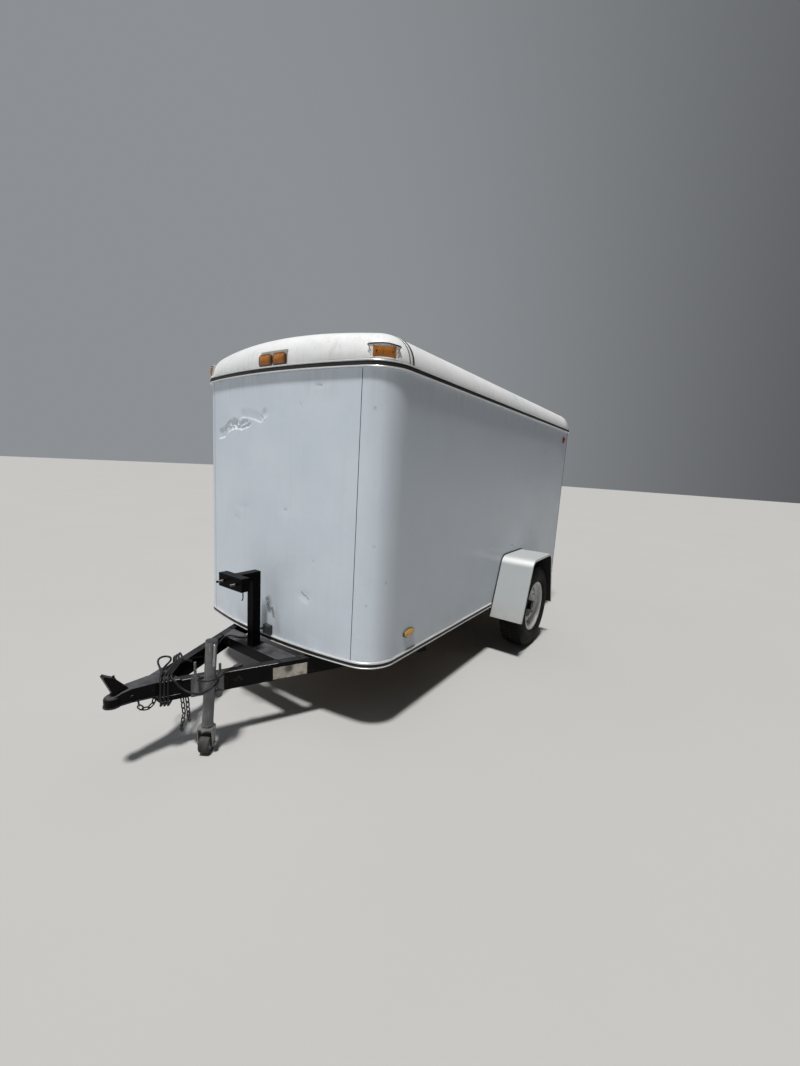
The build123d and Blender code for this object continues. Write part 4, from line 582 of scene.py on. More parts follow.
def front_lens():
    """Amber lens, darker towards its edges: a centre pair and a pair on the corners."""
    M = Mat("amber_lens_front", 0.28, 0.0, 0.35)
    ax = M.math("ABSOLUTE", M.x)
    ribs = M.math("SINE", M.math("MULTIPLY", M.x, 900.0))
    c = M.mix(M.span(ribs, -1.0, 1.0), (0.50, 0.185, 0.022), (0.36, 0.115, 0.012))
    blot = M.span(M.noise(48, 4, 0.6), 0.40, 0.66)
    c = M.mix(M.math("MULTIPLY", blot, 0.55), c, (0.20, 0.060, 0.010))
    dz = M.math("DIVIDE", M.math("ABSOLUTE", M.math("SUBTRACT", M.z, 1.9605)), 0.0310)
    px = M.math("ABSOLUTE", M.math("SUBTRACT", M.x, 0.036))
    dx = M.math("DIVIDE", M.math("ABSOLUTE", M.math("SUBTRACT", px, 0.0555)), 0.0505)
    mid = M.span(ax, 0.30, 0.32, 1.0, 0.0)
    q = M.math("MAXIMUM", dz, M.math("MULTIPLY", dx, mid))
    c = M.mix(M.math("MULTIPLY", M.span(q, 0.58, 1.0, 0.0, 1.0, True), 0.93), c, (0.040, 0.018, 0.009))
    M.color(c)
    M.b.inputs["Coat Weight"].default_value = 0.25
    M.b.inputs["Coat Roughness"].default_value = 0.25
    M.rough(M.span(M.noise(30, 4, 0.6), 0.3, 0.7, 0.24, 0.42))
    M.bump(ribs, 0.30, 0.0006)
    return M.m


mat_amber_front = front_lens()
mat_amber = lens("amber_lens", (0.60, 0.22, 0.028), (0.36, 0.115, 0.012), "x")
mat_amber_y = lens("amber_lens_side", (0.66, 0.36, 0.045), (0.46, 0.22, 0.02), "y")
mat_red = lens("red_lens", (0.26, 0.012, 0.016), (0.12, 0.004, 0.008), "y")
mat_red_x = lens("red_lens_rear", (0.36, 0.012, 0.014), (0.17, 0.005, 0.008), "x")


def plastic(name, base, rough=0.55, dust=0.25):
    M = Mat(name, rough)
    c = M.mix(M.span(M.noise(16, 5, 0.65), 0.35, 0.7), base, tuple(k * 1.25 for k in base))
    c = M.mix(M.math("MULTIPLY", M.span(M.noise(9, 5, 0.7), 0.48, 0.7), dust), c, (0.24, 0.225, 0.2))
    M.color(c)
    M.bump(M.noise(90, 3, 0.6), 0.12, 0.0005)
    return M.m


mat_rim_grey = plastic("caster_hub_plastic", (0.16, 0.155, 0.15), 0.5, 0.5)
# grey of the centre lamp seat: painted shade of the recess round the lamps
mat_pad_shade = plastic("lamp_pad_shade", (0.36, 0.355, 0.335), 0.55, 0.4)
mat_white_pad = plastic("lamp_ledge", (0.74, 0.745, 0.73), 0.45, 0.3)
mat_dark_plastic = plastic("dark_plastic", (0.030, 0.032, 0.033), 0.5, 0.3)
mat_box = plastic("box_plastic", (0.026, 0.033, 0.034), 0.6, 0.2)
def label_material():
    M = Mat("blank_label", 0.6)
    c = M.mix(M.span(M.noise(13, 5, 0.65), 0.35, 0.68), (0.50, 0.47, 0.40), (0.33, 0.31, 0.265))
    c = M.mix(M.math("MULTIPLY", M.span(M.noise(24, 5, 0.72), 0.50, 0.66), 0.75), c, (0.085, 0.078, 0.066))
    d = M.length2(M.math("SUBTRACT", M.y, Y(-88)), M.math("SUBTRACT", M.z, 0.318))
    c = M.mix(M.math("MULTIPLY", M.span(d, 0.010, 0.030, 1.0, 0.0, True), 0.8), c, (0.030, 0.028, 0.026))
    M.color(c)
    return M.m


mat_label = label_material()
# dark caulk lines, also used for the painted shadow lines over the corner lamp seats
mat_caulk_and_shade = rubber("caulk_and_shade_line", (0.026, 0.026, 0.025), 0.25, 0.6)
mat_cable = rubber("cable_jacket", (0.0035, 0.0035, 0.0037), 0.10, 0.55)


# ------------------------------------------------------------------ mesh helpers
class Build:
    def __init__(self):
        self.v, self.f, self.m = [], [], []

    def add(self, verts, faces, mat=0):
        k = len(self.v)
        self.v += [tuple(p) for p in verts]
        self.f += [tuple(i + k for i in fc) for fc in faces]
        self.m += [mat] * len(faces)
        return self

    def box(self, c, s, rot=None, mat=0):
        c = Vector(c)
        vs = []
        for sz in (-1, 1):
            for sy in (-1, 1):
                for sx in (-1, 1):
                    p = Vector((sx * s[0] / 2, sy * s[1] / 2, sz * s[2] / 2))
                    vs.append(c + (rot @ p if rot else p))
        return self.add(vs, [(0, 2, 3, 1), (4, 5, 7, 6), (0, 1, 5, 4), (2, 6, 7, 3), (0, 4, 6, 2), (1, 3, 7, 5)], mat)

    def lathe(self, prof, origin, axis, seg=32, mat=0, closed=False, ref=None):
        """prof: (radius, distance along the axis); origin and axis in space."""
        a = Vector(axis).normalized()
        r = Vector(ref) if ref else (Vector((0, 0, 1)) if abs(a.z) < 0.9 else Vector((1, 0, 0)))
        u = (r - a * r.dot(a)).normalized()
        w = a.cross(u)
        vs, fs = [], []
        n = len(prof)
        for i in range(seg):
            t = 2 * math.pi * i / seg
            d = u * math.cos(t) + w * math.sin(t)
            for rr, h in prof:
                vs.append(Vector(origin) + d * rr + a * h)
        for i in range(seg):
            j = (i + 1) % seg
            for k in range(n if closed else n - 1):
                l = (k + 1) % n
                fs.append((i * n + k, j * n + k, j * n + l, i * n + l))
        if not closed:
            if prof[0][0] > 1e-7:
                fs.append(tuple(i * n for i in range(seg)))
            if prof[-1][0] > 1e-7:
                fs.append(tuple(i * n + n - 1 for i in reversed(range(seg))))
        return self.add(vs, fs, mat)

    def cyl(self, a, b, r, seg=24, r2=None, mat=0, ch=0.0):
        a, b = Vector(a), Vector(b)
        L = (b - a).length
        r2 = r if r2 is None else r2
        prof = [(r - ch, 0), (r, ch), (r2, L - ch), (r2 - ch, L)] if ch else [(r, 0), (r2, L)]
        return self.lathe(prof, a, b - a, seg, mat)

    def tube(self, pts, r, seg=10, closed=False, mat=0, flat=1.0):
        pts = [Vector(p) for p in pts]
        n = len(pts)
        tang = []
        for i in range(n):
            if closed:
                t = pts[(i + 1) % n] - pts[i - 1]
            else:
                t = pts[min(i + 1, n - 1)] - pts[max(i - 1, 0)]
            tang.append(t.normalized())
        ref = Vector((0, 0, 1)) if abs(tang[0].z) < 0.9 else Vector((1, 0, 0))
        u = (ref - tang[0] * ref.dot(tang[0])).normalized()
        vs, fs = [], []
        for i in range(n):
            u = (u - tang[i] * u.dot(tang[i])).normalized()
            w = tang[i].cross(u)
            for k in range(seg):
                a = 2 * math.pi * k / seg
                vs.append(pts[i] + u * (r * math.cos(a)) + w * (r * flat * math.sin(a)))
        for i in range(n if closed else n - 1):
            j = (i + 1) % n
            for k in range(seg):
                l = (k + 1) % seg
                fs.append((i * seg + k, i * seg + l, j * seg + l, j * seg + k))
        if not closed:
            fs.append(tuple(reversed(range(seg))))
            fs.append(tuple((n - 1) * seg + k for k in range(seg)))
        return self.add(vs, fs, mat)

    def prism(self, poly, origin, ux, uy, depth, mat=0):
        """poly in the plane of ux, uy at origin, extruded along depth."""
        n = len(poly)
        o, ux, uy, d = Vector(origin), Vector(ux), Vector(uy), Vector(depth)
        base = [o + ux * p[0] + uy * p[1] for p in poly]
        vs = base + [p + d for p in base]
        fs = [tuple(reversed(range(n))), tuple(range(n, 2 * n))]
        fs += [(i, (i + 1) % n, n + (i + 1) % n, n + i) for i in range(n)]
        return self.add(vs, fs, mat)

    def loft(self, rings, closed_u=True, caps=True, mat=0):
        """rings: list of equal-length vertex rings."""
        n = len(rings[0])
        vs = [p for rg in rings for p in rg]
        fs = []
        for i in range(len(rings) - 1):
            for k in range(n if closed_u else n - 1):
                l = (k + 1) % n
                fs.append((i * n + k, i * n + l, (i + 1) * n + l, (i + 1) * n + k))
        if caps:
            fs.append(tuple(reversed(range(n))))
            fs.append(tuple((len(rings) - 1) * n + k for k in range(n)))
        return self.add(vs, fs, mat)

    def out(self, name, mats, body="chassis", bevel=0.0, seg=2, angle=35.0, slot=None, replaces=None, recalc=True):
        me = bpy.data.meshes.new(name)
        me.from_pydata(self.v, [], self.f)
        for mt in (mats if isinstance(mats, (list, tuple)) else [mats]):
            me.materials.append(mt)
        me.polygons.foreach_set("material_index", self.m)
        me.update()
        if recalc:
            bm = bmesh.new()
            bm.from_mesh(me)
            bmesh.ops.recalc_face_normals(bm, faces=bm.faces)
            bm.to_mesh(me)
            bm.free()
        me.polygons.foreach_set("use_smooth", [True] * len(me.polygons))
        me.set_sharp_from_angle(angle=math.radians(angle))
        ob = bpy.data.objects.new(name, me)
        bpy.context.scene.collection.objects.link(ob)
        if bevel:
            bv = ob.modifiers.new("bevel", "BEVEL")
            bv.width = bevel
            bv.segments = seg
            bv.limit_method = "ANGLE"
            bv.angle_limit = math.radians(35)
            bv.harden_normals = True
        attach(ob, body)
        if replaces:
            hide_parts(*replaces)
        return ob


# body outline: bow, corner arcs and straight sides, seen from above
BOW_Y = 1.802
BOW_R, COR_R, COR_X = 3.030, 0.178, 0.584
COR_Y = BOW_Y - math.sqrt((BOW_R - COR_R) ** 2 - COR_X ** 2)
COR_A = math.atan2(COR_Y - BOW_Y, COR_X)


def plan(off=0.0, rear=3270.0, side_n=1, cor_n=16, bow_n=40, front=None, rear2=None):
    """Points (x, y, nx, ny) from the left side's rear round the front to the right side's rear."""
    pts = []
    r0, r1 = Y(rear), COR_Y
    for i in range(side_n):
        pts.append((0.762 + off, r0 + (r1 - r0) * i / side_n, 1.0, 0.0))
    for i in range(cor_n):
        a = COR_A * i / cor_n
        pts.append((COR_X + (COR_R + off) * math.cos(a), COR_Y + (COR_R + off) * math.sin(a), math.cos(a), math.sin(a)))
    for i in range(bow_n + 1):
        a = COR_A + (-math.pi - 2 * COR_A) * i / bow_n
        pts.append(((BOW_R + off) * math.cos(a), BOW_Y + (BOW_R + off) * math.sin(a), math.cos(a), math.sin(a)))
    mirror = [(-x, y, -nx, ny) for x, y, nx, ny in reversed(pts[:side_n + cor_n])]
    return pts + mirror


def sweep_plan(B, path, prof, mat=0):
    """Sweep a closed profile of (out, z) along the outline."""
    rings = [[(x + nx * o, y + ny * o, z) for o, z in prof] for x, y, nx, ny in path]
    return B.loft(rings, True, True, mat)


def bow_point(x, off=0.0):
    """Point and normal on the bowed front at half-width x."""
    a = -math.acos(x / BOW_R)
    return (BOW_R + off) * math.cos(a), BOW_Y + (BOW_R + off) * math.sin(a), math.cos(a), math.sin(a)


# ------------------------------------------------------------------ cable (repeats the CAD route)
DIRX, DIRY = 0.4705 / math.hypot(1, 0.4705), 1 / math.hypot(1, 0.4705)
OUTX, OUTY = DIRY, -DIRX
LEAN = 22.0 / 418.0


def rail_x(station):
    return 351.3 + 0.4705 * station


def jack_axis(z):
    d = (z - 142.0) * LEAN
    return 201.0 + d * DIRX, -494.0 + d * DIRY


# out of the junction box, behind the post, along the right rail, a loose loop on the
# saddle, turns round the whole tongue, once round the jack's tube, plug on the left rail
ROUTE = [(5, -14.6, 440), (-22, -15, 438), (-50, -22, 416), (-72, -38, 386), (-104, -62, 368), (-150, -88, 366),
         (-186, -104, 374), (-214, -132, 366), (-228, -160, 334), (-236, -194, 294), (-220, -234, 276),
         (-204, -271, 287), (-180, -327, 313), (-147, -380, 336), (-112, -397, 334), (-84, -413, 349),
         (-70, -436, 371), (-66, -474, 378), (-44, -510, 376), (-12, -532, 375), (9, -557, 375), (-3, -586, 375.5),
         (-34, -590, 376), (-62, -566, 377), (-86, -534, 378), (-110, -504, 380), (-140, -494, 384),
         (-162, -516, 388), (-150, -548, 390), (-110, -572, 389), (-50, -590, 388), (16, -612, 389),
         (48.3, -639, 392), (71.3, -645, 374), (68.3, -648, 322), (71.3, -647, 268), (50.3, -641, 243),
         (-6, -586, 238), (-66.2, -531, 238), (-123.4, -480, 243), (-144.4, -478, 267), (-141.4, -476, 318),
         (-145.4, -474, 372), (-122.4, -476, 391), (-50, -508, 395), (22, -583, 394), (54.9, -625, 392),
         (77.9, -631, 374), (74.9, -634, 322), (77.9, -633, 268), (56.9, -627, 240), (-4.2, -571, 234),
         (-69.3, -515, 234), (-131.4, -463, 240), (-152.4, -461, 267), (-149.4, -459, 318), (-153.4, -457, 372),
         (-130.4, -459, 391), (-52, -491, 395), (24, -569, 394), (61.4, -611, 392), (84.4, -617, 374),
         (81.4, -620, 322), (84.4, -619, 268), (63.4, -613, 237), (-2.5, -556, 230), (-72.5, -499, 230),
         (-139.4, -446, 237), (-160.4, -444, 267), (-157.4, -442, 318), (-161.4, -440, 372), (-138.4, -442, 391),
         (-54, -474, 395), (26, -555, 394), (64, -601, 390), (97.2, -591.6, 366), (115.7, -578.2, 340),
         (139.5, -562.9, 322), (174.9, -546.4, 316), (210.3, -532.1, 321), (241.2, -511.3, 341),
         (250.2, -477.9, 362), (230.7, -448.9, 368), (193.9, -442.6, 370), (165.2, -475.5, 371),
         (165.2, -513.1, 376), (192.5, -534.8, 384), (229, -527.7, 390), (253.3, -494.9, 393), (250.5, -453.8, 392),
         (224.7, -419.5, 387), (195.4, -392.5, 381), (173.3, -368.8, 373), (166.5, -345.7, 367.3),
         (167.9, -328.7, 367.3)]
CABLE = [P(*c) for c in ROUTE]


def nurbs(name, pts, radius, mat):
    cu = bpy.data.curves.new(name, "CURVE")
    cu.dimensions = "3D"
    sp = cu.splines.new("NURBS")
    sp.points.add(len(pts) - 1)
    for p, q in zip(sp.points, pts):
        p.co = (*q, 1.0)
    sp.order_u = 3
    sp.use_endpoint_u = True
    sp.resolution_u = 8
    cu.bevel_depth = radius
    cu.bevel_resolution = 4
    cu.use_fill_caps = True
    cu.materials.append(mat)
    ob = bpy.data.objects.new(name, cu)
    bpy.context.scene.collection.objects.link(ob)
    return ob


cable = nurbs("harness_cable", CABLE, 0.005, mat_cable)
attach(cable, "chassis")
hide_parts("trailer_cable")

# flat four-way plug that lies on the left rail's top, behind the jack
pd = (CABLE[-1] - CABLE[-2]).normalized()
pu = Vector((0, 0, 1)).cross(pd).normalized()
pw = pd.cross(pu)
R = Matrix((pd, pu, pw)).transposed()
B = Build()
B.box(CABLE[-1] + pd * 0.0260, (0.030, 0.026, 0.0125), R)
B.box(CABLE[-1] + pd * 0.0065, (0.012, 0.018, 0.0112), R)
for k in range(4):
    c = CABLE[-1] + pd * 0.0405 + pu * (-0.009 + 0.006 * k)
    B.cyl(c - pd * 0.002, c + pd * 0.0050, 0.0026 if k else 0.0031, 14, mat=1 if k else 0)
for k in range(3):
    B.box(CABLE[-1] + pd * (0.0185 + 0.006 * k), (0.0018, 0.0262, 0.0132), R)
plug = B.out("harness_plug", [mat_dark_plastic, mat_zinc], "chassis", 0.0012, 2, replaces=["cable_plug"], slot="plastic_black")

# strain relief where the cable leaves the junction box
B = Build()
B.lathe([(0.0100, -0.0006), (0.0100, 0.004), (0.0078, 0.006), (0.0066, 0.020), (0.0058, 0.024), (0.00525, 0.024)],
        P(5, -14.6, 440), (-1, 0, 0), 20)
B.out("cable_relief", mat_dark_plastic, "chassis", slot="plastic_black")

# ------------------------------------------------------------------ front skin with its dents
# the crumpled patch: folds as (x, z) lines, each with depth, width of its step and how far it dies out upwards
FOLDS = (
    ([(-0.560, 1.5400), (-0.528, 1.5451), (-0.463, 1.5547), (-0.433, 1.5782), (-0.383, 1.5981), (-0.322, 1.6038), (-0.290, 1.6010)],
     0.0105, 0.0150, 0.022, 0.038),
    ([(-0.305, 1.6030), (-0.290, 1.6010), (-0.257, 1.5967), (-0.221, 1.6027), (-0.191, 1.6115), (-0.150, 1.6200)],
     0.0075, 0.0130, 0.003, 0.018),
    ([(-0.290, 1.6150), (-0.269, 1.6188), (-0.232, 1.6251), (-0.198, 1.6337), (-0.180, 1.6380)], 0.0066, 0.0100, 0.002, 0.022),
    ([(-0.280, 1.6655), (-0.257, 1.6651), (-0.210, 1.6639), (-0.186, 1.6617), (-0.141, 1.6546), (-0.099, 1.6423), (-0.067, 1.6353),
      (-0.038, 1.6588), (-0.023, 1.6645), (-0.005, 1.6680)], 0.0042, 0.0110, 0.002, 0.055),
    ([(-0.400, 1.6180), (-0.370, 1.6230), (-0.330, 1.6210), (-0.300, 1.6270)], 0.0030, 0.0080, 0.001, 0.016),
)


def smooth(t):
    t = min(max(t, 0.0), 1.0)
    return t * t * (3 - 2 * t)


def dent(x, z):
    """How far the front sheet is pushed in at (x, z), in metres."""
    d = 0.0
    if -0.57 < x < 0.03 and 1.50 < z < 1.76:
        for line, depth, step, keep, fade in FOLDS:
            if not line[0][0] < x < line[-1][0]:
                continue
            for (xa, za), (xb, zb) in zip(line, line[1:]):
                if xa <= x <= xb:
                    zc = za + (zb - za) * (x - xa) / (xb - xa)
            zc += 0.0045 * noise.noise(Vector((x * 55, 2.0, depth * 900))) + 0.0030 * noise.noise(Vector((x * 130, 5.0, 1.0)))
            span = min((x - line[0][0]) / 0.030, (line[-1][0] - x) / 0.030)
            s = z - zc
            amp = depth * smooth(span) * (0.80 + 0.45 * noise.noise(Vector((x * 38, z * 16, 3.1))))
            d += amp * smooth((s + step / 2) / step) * (1 - smooth((s - step / 2 - keep) / fade))
        # fine crumple between the folds
        mask = smooth((x + 0.47) / 0.06) * smooth((-0.19 - x) / 0.05) * smooth((z - 1.598) / 0.02) * smooth((1.672 - z) / 0.03)
        d += 0.0046 * mask * (0.5 - abs(noise.noise(Vector((x * 34, z * 46, 8.2)))) * 1.6)
        m2 = math.exp(-(((x + 0.058 + (z - 1.658) * 1.05) / 0.007) ** 2) - ((z - 1.658) / 0.020) ** 2)
        d += 0.0022 * m2
    for cx, cz, rx, rz, k in ((0.370, 1.818, 0.024, 0.010, 0.0022), (0.250, 1.722, 0.012, 0.016, 0.0014),
                              (0.153, 1.168, 0.030, 0.020, 0.0016), (-0.225, 1.148, 0.075, 0.022, 0.0014),
                              (-0.300, 1.070, 0.040, 0.024, 0.0016), (0.307, 0.700, 0.045, 0.030, 0.0026),
                              (0.040, 0.570, 0.030, 0.055, 0.0018), (-0.030, 1.685, 0.030, 0.020, 0.0024),
                              (0.359, 0.908, 0.022, 0.018, 0.0012), (-0.45, 1.25, 0.10, 0.16, 0.0012),
                              (0.45, 1.30, 0.12, 0.22, 0.0010)):
        q = ((x - cx) / rx) ** 2 + ((z - cz) / rz) ** 2
        if q < 6:
            d += k * math.exp(-q)
    return d


def front_sheet():
    B = Build()
    xs = list(np.linspace(-0.6138, -0.567, 4)) + list(np.linspace(-0.562, 0.03, 170)) + list(np.linspace(0.045, 0.6138, 44))
    zs = (list(np.linspace(0.3772, 1.50, 68)) + list(np.linspace(1.51, 1.72, 84)) + list(np.linspace(1.73, 1.9075, 16)))
    outer, inner = [], []
    for z in zs:
        ro, ri = [], []
        for x in xs:
            px, py, nx, ny = bow_point(x)
            w = 0.0005 * noise.noise(Vector((x * 2.7, z * 2.1, 0.4))) + 0.0004 * noise.noise(Vector((x * 6.1, z * 4.7, 7.7)))
            edge = smooth((0.6138 - abs(x)) / 0.05) * smooth((z - 0.377) / 0.05) * smooth((1.9075 - z) / 0.05)
            d = dent(x, z) + (w + 0.0005) * edge
            ro.append((px - nx * d, py - ny * d, z))
            ri.append((px - nx * (d + 0.0016), py - ny * (d + 0.0016), z))
        outer.append(ro)
        inner.append(ri)
    nx_, nz_ = len(xs), len(zs)
    vs = [p for r in outer for p in r] + [p for r in inner for p in r]
    k = nx_ * nz_
    fs = []
    for j in range(nz_ - 1):
        for i in range(nx_ - 1):
            a = j * nx_ + i
            fs.append((a, a + 1, a + nx_ + 1, a + nx_))
            fs.append((k + a, k + a + nx_, k + a + nx_ + 1, k + a + 1))
    for i in range(nx_ - 1):
        fs.append((i, k + i, k + i + 1, i + 1))
        t = (nz_ - 1) * nx_ + i
        fs.append((t, t + 1, k + t + 1, k + t))
    for j in range(nz_ - 1):
        a, b = j * nx_, (j + 1) * nx_
        fs.append((a, b, k + b, k + a))
        a, b = a + nx_ - 1, b + nx_ - 1
        fs.append((a, k + a, k + b, b))
    B.add(vs, fs)
    return B.out("front_skin", mat_front, "chassis", slot="skin_white", replaces=["front_panel"], angle=60)


front_sheet()

# inside of the front wall: studs and plywood lining behind the sheet
B = Build()
xs = np.linspace(-0.6135, 0.6135, 25)
for o0, o1, z0, z1 in ((-0.035, -0.029, 0.4385, 1.9075),):
    rings = []
    for x in xs:
        px, py, nx, ny = bow_point(x)
        rings.append([(px + nx * o0, py + ny * o0, z0), (px + nx * o1, py + ny * o1, z0),
                      (px + nx * o1, py + ny * o1, z1), (px + nx * o0, py + ny * o0, z1)])
    B.loft(rings)
B.out("front_lining", mat_wall_ply, "chassis", slot="floor_wood")
B = Build()
for x in (-0.58, -0.30, 0.0, 0.30, 0.58):
    px, py, nx, ny = bow_point(x)
    rz = Matrix.Rotation(math.atan2(ny, nx), 3, "Z")
    B.box((px - nx * 0.0190, py - ny * 0.0190, 1.143), (0.019, 0.038, 1.50), rz)
for z in (0.3945, 1.8905):
    rings = []
    for x in xs:
        px, py, nx, ny = bow_point(x)
        rings.append([(px - nx * 0.0285, py - ny * 0.0285, z - 0.016), (px - nx * 0.0095, py - ny * 0.0095, z - 0.016),
                      (px - nx * 0.0095, py - ny * 0.0095, z + 0.016), (px - nx * 0.0285, py - ny * 0.0285, z + 0.016)])
    B.loft(rings)
B.out("front_studs", mat_steel, "chassis", slot="steel_bare")

# vertical joints where the front sheet laps the corner sheets
B = Build()
for s in (1, -1):
    for x, w, t, mt in ((0.6150, 0.0030, 0.0007, 0), (0.6105, 0.0055, 0.0011, 1)):
        px, py, nx, ny = bow_point(x)
        rz = Matrix.Rotation(math.atan2(ny, nx), 3, "Z")
        v0 = [Vector((px, py, 0)) + rz @ Vector(q) for q in ((t, -w / 2, 0), (t, w / 2, 0), (-0.0004, w / 2, 0), (-0.0004, -w / 2, 0))]
        rings = [[(s * p.x, p.y, z) for p in v0] for z in (0.411, 1.889)]
        B.loft(rings, mat=mt)
B.out("front_joints", [mat_caulk_and_shade, mat_plain_skin], "chassis", 0.0002, 1, slot="skin_white")

# ------------------------------------------------------------------ mouldings
PATH = plan(0.0, 3270.0, 1, 20, 48)
# black vinyl insert of the roof moulding, then its two rounded beads
B = Build()
zc, hh = 1.9090, 0.0100
prof = [(0.0108, zc - hh), (0.0128, zc - hh * 0.8), (0.0136, zc - hh * 0.3), (0.0136, zc + hh * 0.3), (0.0128, zc + hh * 0.8),
        (0.0108, zc + hh)]
sweep_plan(B, plan(0.0, 3268.0, 1, 20, 48), prof)
B.out("roof_trim_insert", mat_insert, "chassis", slot="rubber_black")
B = Build()
for z0, z1 in ((1.9188, 1.9274), (1.8906, 1.8990)):
    zm, zh = (z0 + z1) / 2, (z1 - z0) / 2
    prof = [(0.0120 + 0.0048 * math.cos(math.radians(t)), zm + zh * math.sin(math.radians(t))) for t in range(-90, 91, 20)]
    sweep_plan(B, plan(0.0, 3269.0, 1, 20, 48), prof + [(0.0118, zm)])
B.out("roof_trim_beads", mat_bead, "chassis", slot="trim_aluminium", angle=60)
# caulk line above the moulding
B = Build()
sweep_plan(B, plan(0.0, 3268.0, 1, 20, 48), [(0.0002, 1.9270), (0.0080, 1.9272), (0.0045, 1.9292), (0.0002, 1.9306)])
B.out("roof_caulk", mat_caulk_and_shade, "chassis", slot="rubber_black")

# bottom moulding: insert, interrupted by the fenders
F0, F1 = 1957.0 - 393.0, 1957.0 + 393.0
prof = [(0.0032, 0.3800), (0.0050, 0.3815), (0.0056, 0.3845), (0.0056, 0.3925), (0.0050, 0.3955), (0.0032, 0.3970)]
B = Build()
sweep_plan(B, plan(0.0, F0, 1, 20, 48), prof)
for s in (1, -1):
    B.loft([[(s * (0.762 + o), Y(a), z) for o, z in prof] for a in (F1, 3268.0)])
B.out("bottom_trim_insert", mat_insert, "chassis", slot="rubber_black")
B = Build()
for zm, zh, o0, ro in ((0.4050, 0.0064, 0.0046, 0.0050), (0.3778, 0.0030, 0.0060, 0.0024)):
    prof = [(o0 + ro * math.cos(math.radians(t)), zm + zh * math.sin(math.radians(t))) for t in range(-90, 91, 20)] + [(o0 - 0.0008, zm)]
    sweep_plan(B, plan(0.0, F0, 1, 20, 48), prof)
    for s in (1, -1):
        B.loft([[(s * (0.762 + o), Y(a), z) for o, z in prof] for a in (F1, 3268.0)])
B.out("bottom_trim_beads", mat_bead, "chassis", slot="trim_aluminium", angle=60)

# joint strip between the cap and the side mouldings: bright band with two dark lines
CROWN_RAD = (0.762 ** 2 + 0.042 ** 2) / (2 * 0.042)
CROWN_Z = 2.108 - CROWN_RAD
COVE = 0.155
COVE_C = (0.762 - COVE, CROWN_Z + math.sqrt((CROWN_RAD - COVE) ** 2 - (0.762 - COVE) ** 2))
COVE_A = math.atan2(COVE_C[1] - CROWN_Z, COVE_C[0])


def roof_section(off=0.0, z0=1.9275, n_cove=16, n_crown=24):
    """Half cross-section of the roof from the left moulding to the middle: (x, z, nx, nz)."""
    pts = [(0.762 + off, z0, 1.0, 0.0)]
    for i in range(n_cove + 1):
        a = COVE_A * i / n_cove
        pts.append((COVE_C[0] + (COVE + off) * math.cos(a), COVE_C[1] + (COVE + off) * math.sin(a), math.cos(a), math.sin(a)))
    for i in range(1, n_crown + 1):
        a = COVE_A + (math.pi / 2 - COVE_A) * i / n_crown
        pts.append(((CROWN_RAD + off) * math.cos(a), CROWN_Z + (CROWN_RAD + off) * math.sin(a), math.cos(a), math.sin(a)))
    return pts


sec = roof_section()
sec = [q for q in sec if q[1] >= 1.9274]
full = sec + [(-x, z, -nx, nz) for x, z, nx, nz in reversed(sec[:-1])]


def roof_strip(B, s0, s1, t, mat=0, lift=0.0):
    rings = []
    for x, z, nx, nz in full:
        rings.append([(x + nx * (lift - 0.0004), Y(s0), z + nz * (lift - 0.0004)), (x + nx * t, Y(s0 + 0.8), z + nz * t),
                      (x + nx * t, Y(s1 - 0.8), z + nz * t), (x + nx * (lift - 0.0004), Y(s1), z + nz * (lift - 0.0004))])
    B.loft(rings, mat=mat)


B = Build()
roof_strip(B, 247, 269, 0.0020, 0)
roof_strip(B, 240.0, 247.6, 0.0012, 1)
roof_strip(B, 255.0, 257.4, 0.0030, 0)
roof_strip(B, 265.0, 281.0, 0.0026, 1)
B.out("cap_joint_strip", [mat_strip, mat_caulk_and_shade], "chassis", slot="trim_aluminium")
# joint strips along the roof sheet's edges, between the coves
B = Build()
for s in (1, -1):
    x0 = 0.607
    z0 = CROWN_Z + math.sqrt(CROWN_RAD ** 2 - x0 ** 2)
    tilt = math.asin(x0 / CROWN_RAD)
    rot = Matrix.Rotation(s * tilt, 3, "Y")
    for dx, w, t, mt in ((0.0, 0.026, 0.0024, 0), (-0.0145, 0.003, 0.0014, 1), (0.0145, 0.003, 0.0014, 1)):
        c = Vector((s * x0, 0, z0)) + rot @ Vector((s * dx, 0, t / 2))
        B.box((c.x, (Y(277) + Y(3188)) / 2, c.z), (w, Y(3188) - Y(277), t), rot, mt)
    for i in range(20):
        yy = Y(330 + i * 148)
        c = Vector((s * x0, yy, z0)) + rot @ Vector((0, 0, 0.0022))
        n = rot @ Vector((0, 0, 1))
        B.lathe([(0.0046, 0), (0.0044, 0.0012), (0.003, 0.0024), (0.0, 0.0029)], c, n, 12, 2)
B.out("roof_edge_strips", [mat_alu, mat_caulk_and_shade, mat_zinc], "chassis", slot="trim_aluminium")

# roof bows under the sheet, seen from inside
B = Build()
for i in range(6):
    yy = Y(560 + i * 498)
    rings = []
    for k in range(21):
        x = -0.60 + 1.20 * k / 20
        z = CROWN_Z + math.sqrt((CROWN_RAD - 0.030) ** 2 - x * x)
        rings.append([(x, yy - 0.019, z - 0.0002), (x, yy - 0.019, z - 0.022), (x, yy + 0.019, z - 0.022), (x, yy + 0.019, z - 0.0002)])
    B.loft(rings)
B.out("roof_bows", mat_zinc, "chassis", 0.0012, 1, slot="steel_bare")

# ------------------------------------------------------------------ lamps
LAMP_Z = 1.966
PAIR_X = 0.036


def cap_y(x, z):
    """Front surface of the cap at (x, z): bow below the cove, then rolling back."""
    _, y, _, _ = bow_point(x)
    dz = z - COVE_C[1]
    if dz <= 0:
        return y
    return y + COVE - math.sqrt(max(COVE ** 2 - dz ** 2, 0))


